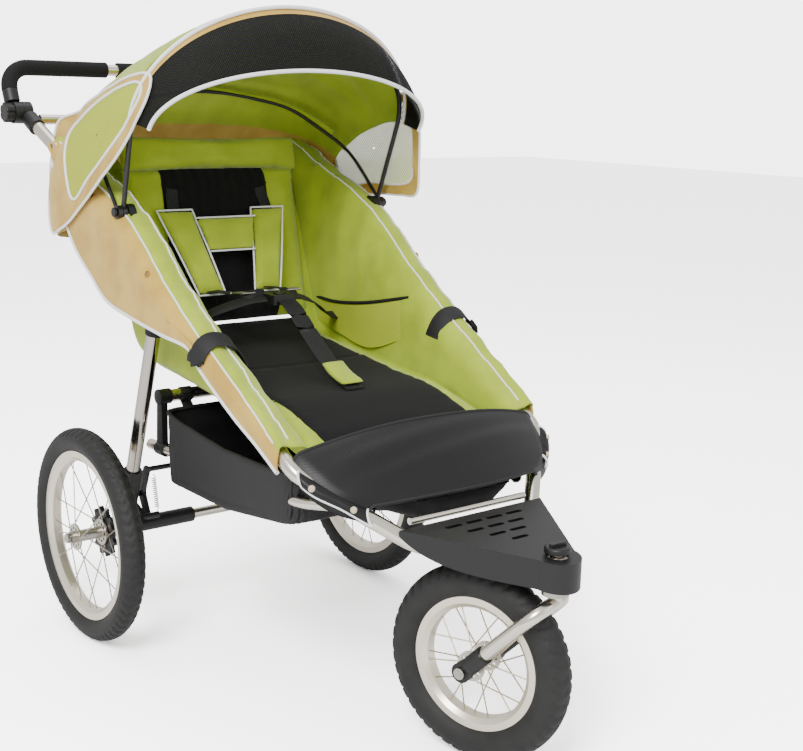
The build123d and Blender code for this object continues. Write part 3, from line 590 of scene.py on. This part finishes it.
# sunshade: a crescent of black net between the front bow and a forward hem
t = np.linspace(0, 1, 90)
bowEdge = hoodPoints(np.full(90, 18.5), t)
bowEdge[:, 1] -= 4
hemEdge = np.stack([-287 * np.cos(np.pi * t), -192 - 78 * np.sin(np.pi * t) ** 0.9, 948 + 103 * np.sin(np.pi * t) ** 0.9], 1)
steps = np.linspace(0, 1, 18)[:, None, None]
shade = bowEdge * (1 - steps) + hemEdge * steps
shade[..., 2] += 10 * (np.sin(np.pi * steps) * np.sin(np.pi * t)[None, :, None])[..., 0]
shade[..., 1] -= 8 * (np.sin(np.pi * steps) * np.sin(np.pi * t)[None, :, None])[..., 0]
shadePiece = surface("sunshadeNet", shade, [blackNet, tanCanvas], zones=lambda u, v, grid: u < 0.07)
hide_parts("visor")
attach(shadePiece, "front_canopy_bow")
shadeEdges = cordTube("sunshadeBinding", [hemEdge + [0, -1, 0], bowEdge + [0, -2, 3]], 3.6, whiteBinding, None,
                      reference=(0, 1, 0.3))
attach(shadeEdges, "front_canopy_bow")
print("canopy made")

# seat: quilted back, cushion and headrest, stuffed and then sewn

seatBack = dict(foot=(16.0, 566.0), top=(96.0, 916.0), half=196.0, blackHalf=118.0, channel=24.0)
run = np.array([0, seatBack["top"][0] - seatBack["foot"][0], seatBack["top"][1] - seatBack["foot"][1]])
backLong = np.linalg.norm(run)
run = run / backLong
backOut = np.array([0, -run[2], run[1]])


def onBack(x, up, out):
    # a point on the seat back: up from its foot, and out from its front face
    x, up, out = np.broadcast_arrays(x, up, out)
    return np.stack([x, 0 * x, 0 * x], -1) + np.array([0, *seatBack["foot"]]) + up[..., None] * run + out[..., None] * backOut


x, up = np.meshgrid(np.linspace(-196, 196, 60), np.linspace(2, backLong - 40, 52), indexing="ij")
backPad = pad("seatBackPad", onBack(x, up, -17.0), -backOut * -1.0, 13.0, [limeCanvas, blackCanvas], cap=6.0)
points = readPoints(backPad)
height = (points - [0, *seatBack["foot"]]) @ run
facing = (points - [0, *seatBack["foot"]]) @ backOut > -17
black = (np.abs(points[:, 0]) < seatBack["blackHalf"]) & facing
channel = 2.6 * np.abs(np.sin(np.pi * points[:, 0] / seatBack["channel"])) ** 0.5 - 2.6
gather = 1.3 * ripple(height, (19, 27, 41), 7) * np.exp(-np.abs(np.abs(points[:, 0]) - seatBack["blackHalf"]) / 22)
seam = -3.2 * np.exp(-((np.abs(points[:, 0]) - seatBack["blackHalf"]) / 4) ** 2)
points += backOut * (np.where(black, channel, gather) + seam * facing)[:, None]
writePoints(backPad, points)
paintZones(backPad, lambda c: (np.abs(c[:, 0]) < seatBack["blackHalf"]))
mapFlat(backPad, (1, 0, 0), run)
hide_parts("seat_back")
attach(backPad, "seat_back")

x, up = np.meshgrid(np.linspace(-196, 196, 60), np.linspace(backLong - 56, backLong + 10, 22), indexing="ij")
headPad = pad("headrestRoll", onBack(x, up, -6.0 + 0 * x), backOut, 19.0, [limeCanvas], cap=6.0)
points = readPoints(headPad)
height = (points - [0, *seatBack["foot"]]) @ run
points += backOut * (1.8 * ripple(points[:, 0], (33, 52, 21), 11) * np.exp(-np.abs(height - backLong + 52) / 18))[:, None]
writePoints(headPad, points)
paintZones(headPad, lambda c: 0 * c[:, 0])
mapFlat(headPad, (1, 0, 0), run)
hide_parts("headrest")
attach(headPad, "seat_back")

cushionLine = np.array([(34, 566), (10, 541), (-40, 524), (-140, 512), (-222, 503), (-310, 494), (-400, 487), (-470, 470), (-540, 451)], float)
line = smoothPath(cushionLine, 84)
x = np.linspace(-201, 201, 56)
middle = np.stack(np.broadcast_arrays(x[None, :], line[:, :1], line[:, 1:]), -1)
upward = np.array([0, -0.12, 0.99])
cushion = pad("seatCushion", middle, upward, 17.0, [limeCanvas, blackCanvas], cap=6.0, voxel=6.0)
points = readPoints(cushion)
top = points[:, 2] > np.interp(points[:, 1], line[::-1, 0], line[::-1, 1])
points[:, 2] += top * (-2.8 * np.exp(-((np.abs(points[:, 0]) - 160) / 5) ** 2)
                       - 2.2 * np.exp(-((points[:, 1] + 215 - 0.0006 * points[:, 0] ** 2) / 6) ** 2) * (np.abs(points[:, 0]) < 160)
                       + 1.0 * ripple(points[:, 1], (23, 36, 58), 13) * np.exp(-np.abs(np.abs(points[:, 0]) - 160) / 20))
writePoints(cushion, points)
paintZones(cushion, lambda c: (np.abs(c[:, 0]) < 160))
mapFlat(cushion, (1, 0, 0), (0, 1, 0))
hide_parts("seat_base")
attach(cushion, "frame")
print("seat pads made")

# side wings: cloth from the seat up, over the rail and down outside, lime within and tan without

wing = dict(
    y=(190, 140, 96, 60, 20, -40, -120, -236, -325, -352, -434, -500, -556),
    inner=(886, 850, 770, 660, 560, 530, 524, 508, 500, 498, 480, 462, 446),
    crest=(922, 899, 878, 862, 846, 822, 780, 690, 630, 613, 563, 522, 484),
    outer=(906, 800, 740, 708, 682, 644, 628, 613, 603, 568, 512, 478, 446),
    xOut=(293, 295, 296, 296, 296, 296, 296, 295, 292, 284, 276, 273, 271),
)


def wingPoints(rows, columns):
    # across each station: seat edge, inner wall, crest over the rail, outer wall, lower edge, joined by a smooth curve
    keys = np.stack([np.array(wing[key], float) for key in ("y", "inner", "crest", "outer", "xOut")], 1)
    y, inner, crest, outer, xOut = smoothPath(keys, rows).T
    wall = np.maximum(crest - inner, 4)
    drop = np.maximum(crest - outer, 6)
    stations = [
        (207 + 0 * y, inner), (213 + 0 * y, inner + 0.35 * wall), (221 + 0 * y, inner + 0.72 * wall), (238 + 0 * y, crest - 5),
        (262 + 0 * y, crest + 1), (286 - (296 - xOut) * 0.7, crest - 9), (xOut, crest - 22 - 0.1 * drop), (xOut, outer + 0.45 * drop),
        (xOut - 1, outer),
    ]
    profile = np.stack([np.stack([x, y, z], -1) for x, z in stations])
    return smoothPath(profile, columns).transpose(1, 0, 2)


for name, s in sides.items():
    rows, columns = 150, 72
    points = wingPoints(rows, columns)
    v = np.linspace(0, 1, columns)[None, :]
    along = np.r_[0, np.linalg.norm(np.diff(points[:, 40], axis=0), axis=1).cumsum()][:, None]
    out = gridNormals(points)
    out *= np.sign(out[75, 10, 0]) * -1
    puff = 5.5 * np.sqrt(np.abs(np.sin(np.pi * np.clip(v / 0.42, 0, 1)))) + 3.0 * np.abs(np.sin(np.pi * np.clip((v - 0.42) / 0.16, 0, 1)))
    seamDistance = np.minimum(np.abs(v - 0.42), np.abs(v - 0.58))
    gathers = 1.5 * ripple(along + 25 * np.sin(5 * v), (17, 24, 39), 17 if s < 0 else 19) * np.exp(-seamDistance / 0.06)
    sagging = 2.4 * ripple(along, (150, 90, 63), 23) * np.sin(np.pi * v)
    points += out * (puff + gathers + sagging)[..., None] * np.where(v < 0.62, 1, 0.5)[..., None]
    points[..., 0] *= s
    points[..., 0] = np.clip(points[..., 0], -298, 298)
    # the inner edge is tucked under the cushion and behind the seat back
    y, reach = points[:, 0, 1], np.linspace(1, 0.12, 6)[None, :, None]
    tuck = points[:, :1] + reach * np.stack([-s * 46 + 0 * y, 0 * y, -30 * np.clip((20 - y) / 60, 0, 1)], -1)[:, None]
    grid = np.concatenate([tuck, points], 1)
    grid = grid[::-1] if s > 0 else grid
    # lime inside, tan from the outer seam on
    piece = surface(name + "Wing", grid, [limeCanvas, tanCanvas], thick=2.4,
                    zones=lambda u, v, grid: v > 0.617)
    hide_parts(name + "_side_panel")
    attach(piece, "frame")
    lifted = points + out * 1.6 * np.array([s, 1, 1])
    seams = [lifted[4:-3, int(share * (columns - 1))] for share in (0.42, 0.585)]
    piping = cordTube(name + "WingPiping", seams, 1.7, whiteBinding, None, reference=(0, 0, 1), sides=8)
    hem = cordTube(name + "WingHem", [points[3:, -1]], 3.6, whiteBinding, None, reference=(1, 0, 0))
    for part in (piping, hem):
        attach(part, "frame")
    # brass press studs on the tan
    studs = []
    for row in (52, 82):
        spot = points[row, 48] + np.array([s * 1.5, 0, 0])
        turnR = np.array([0.2, 5.2, 6.0, 5.4, 0.2])
        studs.append(carried(spot + np.array([[s * d, 0, d * 0.2] for d in (-1.5, -1.2, 0.3, 1.6, 1.9)]), turnR, 20, reference=(0, 1, 0)))
    studPiece = surface(name + "WingStuds", studs, [brassStud], closedV=True, caps=True)
    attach(studPiece, "frame")
print("wings made")

# foot guard: vinyl over the rails' front bend, crowned in the middle, with a bound flap round each rail

guard = dict(rearY=-566.0, frontY=-694.0)
u, v = np.meshgrid(np.linspace(0, 1, 46), np.linspace(-1, 1, 90), indexing="ij")
half = 262 - 42 * u ** 1.5 - 34 * u ** 6
x = half * v
y = guard["rearY"] - 20 * (1 - v ** 2) * (1 - u) + (guard["frontY"] - guard["rearY"]) * u + 34 * u * v ** 2 * (v ** 2 > 0) - 0 * v
crown = 34 * (1 - np.abs(v) ** 2.2) * (1 - u) ** 0.8 + 8 * (1 - v ** 2) * u
sideDrop = -22 * np.clip((np.abs(v) - 0.9) / 0.1, 0, 1) ** 1.6
z = 470 - 66 * u + crown + sideDrop + 9 * np.sin(np.pi * u) * (1 - np.abs(v) ** 3)
z += 1.5 * ripple(u * 130 + 30 * v, (70, 43), 29) * (1 - np.abs(v) ** 4)
guardTop = np.stack([x, y, z], -1)[:, ::-1]
guardPiece = surface("footGuard", guardTop, [twillVinyl], thick=2.0)
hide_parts("foot_cover")
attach(guardPiece, "frame")
guardHem = cordTube("footGuardHem", [guardTop[0], guardTop[-1]], 3.0, blackWebbing, "black_webbing", reference=(0, 0, 1))
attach(guardHem, "frame")


def railSpot(share):
    # centre of the rail between the knee and the footplate, through the rail's own bends
    path = smoothPath(np.array([(261, -480, 511), (254, -560, 459), (240, -604, 431), (205, -640, 408), (172, -668, 385), (135, -700, 360)], float), 80)
    return path[np.minimum((np.asarray(share) * 79).astype(int), 79)]


for name, s in sides.items():
    share, turn = np.meshgrid(np.linspace(0.34, 0.80 if s < 0 else 0.62, 26), np.linspace(math.radians(-30), math.radians(215), 20), indexing="ij")
    center = railSpot(share)
    outward = np.array([0.78, -0.62, 0.05])
    radius = 15.6 + 0.5 * np.sin(6 * np.pi * share)
    flap = center + radius[..., None] * (np.cos(turn)[..., None] * outward + np.sin(turn)[..., None] * np.array([0.25, 0.30, 0.92]))
    flap[..., 0] *= s
    flap = flap if s < 0 else flap[:, ::-1]
    flapPiece = surface(name + "GuardFlap", flap, [twillVinyl], thick=1.8)
    edge = flap[:, 0] if s < 0 else flap[:, -1]
    flapHem = cordTube(name + "GuardFlapHem", [edge, flap[0], flap[-1]], 2.2, whiteBinding, None, reference=(0.2, 0.3, 1))
    stud = [carried(flap[row, 4 if s < 0 else -5] + outward * np.array([s, 1, 1]) * np.array([-2, 0, 2.0, 3.2, 3.4])[:, None],
                    np.array([5.2, 5.4, 5.2, 3.6, 0.2]), 20, reference=(0, 0.1, 1)) for row in (5, 20)]
    studPiece = surface(name + "GuardStuds", stud, [creamStud], closedV=True, caps=True)
    for piece in (flapPiece, flapHem, studPiece):
        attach(piece, "frame")

# foot well: a cloth trough hung between the rails behind the footplate
u, v = np.meshgrid(np.linspace(0, 1, 40), np.linspace(-1, 1, 60), indexing="ij")
halfWell = 188 - 6 * u - 88 * np.clip((u - 0.25) / 0.75, 0, 1)
depth = (1 - np.abs(v) ** 5) * (1 - (2 * u - 1) ** 8)
rim = 452 - 48 * u
well = np.stack([halfWell * v, -552 - 134 * u, rim - depth * (rim - 364) + 2.0 * ripple(140 * u + 90 * v, (60, 37), 31)], -1)
wellPiece = surface("footWell", well[:, ::-1], [blackCanvas], thick=1.6)
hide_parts("foot_well")
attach(wellPiece, "frame")
print("foot guard made")

# basket: open woven bag, rim to bottom, walls x^n + y^n rounded and sagging between its straps

basket = dict(half=232.0, back=-127.0, front=-540.0, rimBack=450.0, rimFront=430.0, floor=321.0)
around, down = np.meshgrid(np.linspace(0, 2 * np.pi, 200, endpoint=False), np.linspace(0, 1, 60), indexing="ij")
corner = 0.11
cx, sy = np.cos(around), np.sin(around)
squareX, squareY = np.sign(cx) * np.abs(cx) ** corner, np.sign(sy) * np.abs(sy) ** corner
inward = np.clip((down - 0.52) / 0.48, 0, 1)
spread = 1 - inward ** 1.7
middleY, halfY = (basket["back"] + basket["front"]) / 2, (basket["back"] - basket["front"]) / 2
x = basket["half"] * squareX * spread
y = middleY + halfY * squareY * spread * (1 - 0.05 * down)
rimZ = basket["rimFront"] + (basket["rimBack"] - basket["rimFront"]) * (squareY + 1) / 2
rimZ -= 15 * np.cos(2 * around) ** 2 * (np.abs(squareX) > 0.98) * np.sin(np.pi * (squareY + 1) / 2)
floorZ = basket["floor"] + 26 * np.clip(-squareY, 0, 1) * spread
fall = np.clip(down / 0.58, 0, 1)
z = rimZ + (floorZ - rimZ) * (1 - (1 - fall) ** 1.35)
perimeter = around * 210
fold = 3.4 * ripple(perimeter, (95, 61, 37), 37) * np.sin(np.pi * np.clip(down / 0.6, 0, 1)) + 1.6 * ripple(perimeter + 260 * down, (70, 43), 41)
x += -np.abs(fold) * squareX * np.clip((355 - z) / 15, 0, 1)
y += -fold * squareY * (inward < 0.5)
z += 1.5 * ripple(x + 0.6 * y, (80, 55), 43) * inward
bag = np.stack([x, y, z], -1)
bagPiece = surface("basketBag", bag, [bagCloth], closedU=True, thick=1.6)
rimPath = bag[:, 0]
rimPiece = cordTube("basketRim", [rimPath], 4.0, blackWebbing, "black_webbing", closed=True, reference=(0, 0, 1))
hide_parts("basket")
crossLow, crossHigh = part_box("rear_cross_tube")
crossSpot = (np.array(crossLow) + np.array(crossHigh)) / 2 / mm - [0, axleY / mm, 0]
hangers = []
for x in (-172, 172):
    a = np.linspace(math.radians(-70), math.radians(250), 18)
    loop = np.stack([0 * a + x, crossSpot[1] + 12.6 * np.cos(a), crossSpot[2] + 12.6 * np.sin(a)], 1)
    hangers.append(np.concatenate([[(x, -124, 438)], [(x, crossSpot[1] - 8, 452)], loop[4:]]))
hangerPiece = strap("basketHangers", hangers, 22, 1.6, blackWebbing, facing=(0, 0.3, 1))
for piece in (bagPiece, rimPiece):
    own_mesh(piece)
    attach(piece, "frame")
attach(hangerPiece, "frame")
print("basket made")

# harness: two stuffed shoulder pads joined by a chest piece, webbing, a slide buckle and the crotch strap

harness = dict(topX=104.0, lowX=62.0, topHalf=38.0, lowHalf=29.0, topUp=226.0, lowUp=58.0)
for s in (-1, 1):
    along = np.linspace(harness["topUp"], harness["lowUp"], 30)
    lean = np.linspace(0, 1, 30)
    centerX = s * (harness["topX"] + (harness["lowX"] - harness["topX"]) * lean)
    off = 10 + 34 * lean ** 1.4 + 6 * np.sin(np.pi * lean)
    line = onBack(centerX, along, off)
    width = np.linspace(-1, 1, 12)
    halfWidth = (harness["topHalf"] + (harness["lowHalf"] - harness["topHalf"]) * lean)[:, None]
    grid = line[:, None] + np.stack([halfWidth * width, 0 * halfWidth * width, 0 * halfWidth * width], -1)
    tangent = np.gradient(line, axis=0)
    normal = np.cross(tangent, (1, 0, 0))
    normal *= (np.sign(normal @ backOut) / np.linalg.norm(normal, axis=1))[:, None]
    piece = pad("shoulderPad" + ("Left" if s < 0 else "Right"), grid, normal[:, None], 7.0, [limeCanvas], voxel=4.0, cap=3.0)
    mapFlat(piece, (1, 0, 0), run)
    paintZones(piece, lambda c: 0 * c[:, 0])
    outline = np.concatenate([grid[:, 0], grid[-1], grid[::-1, -1], grid[0, ::-1]]) + np.repeat(
        np.concatenate([normal, normal[-1:].repeat(12, 0), normal[::-1], normal[:1].repeat(12, 0)]), 1, 0) * 1.0
    edge = cordTube("shoulderPadPiping" + ("Left" if s < 0 else "Right"), [outline[::2]], 1.9, whiteBinding, None, closed=True,
                    reference=tuple(backOut))
    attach(piece, "seat_back")
    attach(edge, "seat_back")
    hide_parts("harness_pads")
    tail = onBack(np.array([s * 98.0, s * 102.0, s * 104.0]), np.array([268.0, 246.0, 222.0]), np.array([0.5, 3.0, 10.0]))
    webbing = strap("shoulderWebbing" + ("Left" if s < 0 else "Right"), [smoothPath(tail, 20)], 25, 1.6, blackWebbing,
                    facing=backOut)
    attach(webbing, "seat_back")
u, v = np.meshgrid(np.linspace(-1, 1, 30), np.linspace(0, 1, 16), indexing="ij")
chest = onBack(u * (66 - 16 * v), 208 - 66 * v, 20 + 12 * v)
chestPiece = pad("chestPiece", chest, backOut, 6.0, [limeCanvas], voxel=4.0, cap=3.0)
mapFlat(chestPiece, (1, 0, 0), run)
paintZones(chestPiece, lambda c: 0 * c[:, 0])
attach(chestPiece, "seat_back")
chestEdge = cordTube("chestPiping", [chest[:, 0] + backOut * 4, chest[:, -1] + backOut * 4], 1.8, whiteBinding, None, reference=tuple(backOut))
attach(chestEdge, "seat_back")

buckleLow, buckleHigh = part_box("buckle")
buckleSpot = (np.array(buckleLow) + np.array(buckleHigh)) / 2 / mm - [0, axleY / mm, 0]
crotch = smoothPath(np.array([buckleSpot + [0, -20, 0], buckleSpot + [0, -48, -12], buckleSpot + [0, -96, -48], buckleSpot + [0, -150, -86],
                              (0, -346, 529), (0, -392, 514)], float), 40)
crotchPiece = strap("crotchStrap", [crotch], 38, 2.2, blackWebbing, facing=(0, 0.8, 0.6))
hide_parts("harness_straps")
lap = []
for s in (-1, 1):
    lap.append(smoothPath(np.array([buckleSpot + [s * 24, 6, 2], buckleSpot + [s * 60, 22, -4], buckleSpot + [s * 110, 44, -22],
                                    (s * 170, -64, 584), (s * 204, -52, 578)], float), 40))
lapPiece = strap("lapStraps", lap, 25, 1.8, blackWebbing, facing=(0, -0.45, 0.9))
uprights = [smoothPath(np.array([onBack(np.array(s * 64.0), np.array(66.0), np.array(42.0)), buckleSpot + [s * 54, 44, 6],
                                 buckleSpot + [s * 22, 18, 6]], float), 24) for s in (-1, 1)]
uprightPiece = strap("harnessUprights", uprights, 25, 1.8, blackWebbing, facing=(0, -0.6, 0.75))
for piece in (crotchPiece, lapPiece, uprightPiece):
    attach(piece, "frame")
sleeve = pad("crotchSleeve", smoothPath(np.array([(0, -318, 550), (0, -340, 537), (0, -362, 529), (0, -386, 523)], float), 20)[:, None]
             + np.stack([np.linspace(-24, 24, 12), np.zeros(12), np.zeros(12)], -1)[None], np.array([0, -0.55, 0.83]), 5.0,
             [limeCanvas], voxel=4.0, cap=3.0)
mapFlat(sleeve, (1, 0, 0), (0, 0.7, 0.7))
paintZones(sleeve, lambda c: 0 * c[:, 0])
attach(sleeve, "frame")

# slide buckles: a steel frame with a middle bar on each upright
slides = []
for path in uprights:
    at, out = path[12], np.array([0, -0.6, 0.75])
    for dy in (-11, 0, 11):
        along = (path[14] - path[10]) / np.linalg.norm(path[14] - path[10])
        slides.append(carried(at + out * 3 + along * dy + np.linspace(-16, 16, 8)[:, None] * np.array([1, 0, 0]), 1.8, 8, reference=(0, 0.3, 1)))
    for dx in (-16, 16):
        slides.append(carried(at + out * 3 + np.linspace(-12, 12, 8)[:, None] * along + np.array([dx, 0, 0]), 1.8, 8))
slidePiece = surface("slideBuckles", slides, [platedSteel], closedV=True, caps=True)
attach(slidePiece, "frame")
print("harness made")

# webbing that ties the seat to the rails, and the straps on the legs

bands = []
for s in (-1, 1):
    for y in (-348,):
        grid = wingPoints(150, 72)
        row = int(np.argmin(np.abs(grid[:, 30, 1] - y)))
        path = grid[row, 16:68].copy()
        path[:, 1] += np.linspace(-16, 10, len(path)) if s < 0 else np.linspace(10, -16, len(path))
        normal = gridNormals(grid)[row, 16:68]
        normal *= np.sign(normal[26, 2])
        path = path + normal * 6.5
        path[:, 0] *= s
        bands.append((path, normal * np.array([s, 1, 1])))
for (path, normal), name in zip(bands, sides):
    piece = strap(name + "RailStrap", [path], 34, 2.2, blackWebbing, facing=normal)
    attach(piece, "frame")
for name, s in sides.items():
    legSide = np.linspace(0, 2 * np.pi, 24)
    wraps = []
    for z, radius in ((612.0, 14.4), (604.0, 15.6)):
        y = -1 - 0.322 * (z - 205)
        wraps.append(np.stack([s * 248 + radius * np.cos(legSide), y + radius * np.sin(legSide) * 0.97, z + radius * np.sin(legSide) * 0.28], 1))
    piece = strap(name + "LegStrap", wraps, 24, 1.6, blackWebbing,
                  facing=np.stack([np.cos(legSide), np.sin(legSide), 0 * legSide], 1))
    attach(piece, "rear_frame")

# side pocket: net between the seat's wall and a black binding, on each inner wall
for name, s in sides.items():
    along, shareUp = np.meshgrid(np.linspace(0, 1, 60), np.linspace(0, 1, 16), indexing="ij")
    top = smoothPath(np.array([(213, 34, 604), (206, -60, 606), (205, -160, 618), (222, -262, 640)], float), 60)[:, None]
    low = smoothPath(np.array([(208, 22, 560), (202, -70, 544), (203, -180, 532), (218, -322, 590)], float), 60)[:, None]
    pocket = low * (1 - shareUp[..., None]) + top * shareUp[..., None]
    pocket[..., 0] += -8 * np.sin(np.pi * along) * (0.4 + 0.6 * shareUp) - 3
    pocket[..., 0] *= s
    pocketPiece = surface(name + "PocketNet", pocket if s > 0 else pocket[:, ::-1], [limeNet])
    hem = cordTube(name + "PocketHem", [pocket[:, -1]], 3.4, blackWebbing, "black_webbing", reference=(1, 0, 0))
    for piece in (pocketPiece, hem):
        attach(piece, "frame")
print("straps and pockets made")

# coil springs of the brake: a wire on a helix between its hook ends
springs = []
for s in (-1, 1):
    low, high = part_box("brake_springs")
    lower = np.array([s * 213.0, -65.0, 243.5])
    upper = np.array([s * 213.0, -50.5, 311.0])
    turn = np.linspace(0, 2 * np.pi * 15, 15 * 14)
    share = turn / turn[-1]
    axis = (upper - lower) / np.linalg.norm(upper - lower)
    side = np.cross(axis, (1, 0, 0))
    coil = lower + axis * (6 + share[:, None] * (np.linalg.norm(upper - lower) - 12)) + 3.7 * (
        np.cos(turn)[:, None] * np.array([1, 0, 0]) + np.sin(turn)[:, None] * side)
    coil = np.concatenate([[lower], coil, [upper]])
    springs.append(carried(coil, 0.8, 7, reference=tuple(axis)))
springPiece = surface("brakeSprings", springs, [platedSteel], closedV=True, caps=True)
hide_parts("brake_springs")
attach(springPiece, "rear_frame")
print("springs made")

# floor, backdrop and light

studio = dict(floorSize=30.0, floorColor="#fbfbfb", glare=3.2)
bpy.ops.mesh.primitive_plane_add(size=studio["floorSize"], location=(0, 0, 0))
floor = bpy.context.object
floor.name = "floor"
paper = finish("whitePaperSweep", studio["floorColor"], 0.9)
# the paper is seen as brightly as an overexposed studio sweep, but lights the stroller as plain white paper
tree = paper.node_tree
seen = addNode(tree, "ShaderNodeLightPath", {}, {})
bright = addNode(tree, "ShaderNodeBsdfDiffuse", {"Color": (studio["glare"],) * 3 + (1,)}, {})
blend = addNode(tree, "ShaderNodeMixShader", {}, {})
output = next(node for node in tree.nodes if node.type == "OUTPUT_MATERIAL")
plain = next(node for node in tree.nodes if node.type == "BSDF_PRINCIPLED")
for source, target in ((seen.outputs["Is Camera Ray"], blend.inputs[0]), (plain.outputs[0], blend.inputs[1]), (bright.outputs[0], blend.inputs[2]),
                       (blend.outputs[0], output.inputs["Surface"])):
    tree.links.new(source, target)
floor.data.materials.append(paper)

world = bpy.data.worlds.new("studio")
bpy.context.scene.world = world
world.use_nodes = True
world.node_tree.nodes["Background"].inputs["Color"].default_value = linear("#ffffff")
world.node_tree.nodes["Background"].inputs["Strength"].default_value = 1.1
sky = world.node_tree
seen = addNode(sky, "ShaderNodeLightPath")
white = addNode(sky, "ShaderNodeBackground", {"Strength": 6.0})
blend = addNode(sky, "ShaderNodeMixShader")
output = next(node for node in sky.nodes if node.type == "OUTPUT_WORLD")
for source, target in ((seen.outputs["Is Camera Ray"], blend.inputs[0]), (sky.nodes["Background"].outputs[0], blend.inputs[1]),
                       (white.outputs[0], blend.inputs[2]), (blend.outputs[0], output.inputs["Surface"])):
    sky.links.new(source, target)
lamps = {
    "key": dict(at=(-2.6, -1.9, 3.2), size=1.6, power=190, target=(0, -0.1, 0.5)),
    "fill": dict(at=(1.5, -3.6, 1.8), size=2.6, power=18, target=(0, 0, 0.5)),
    "top": dict(at=(0.2, 0.9, 3.4), size=2.2, power=36, target=(0, 0, 0.6)),
}
for name, lamp in lamps.items():
    data = bpy.data.lights.new(name, "AREA")
    data.energy, data.size = lamp["power"], lamp["size"]
    light = bpy.data.objects.new(name, data)
    light.location = lamp["at"]
    aim = np.array(lamp["target"]) - np.array(lamp["at"])
    light.rotation_euler = Vector(aim).to_track_quat("-Z", "Y").to_euler()
    bpy.context.scene.collection.objects.link(light)
print("studio set")
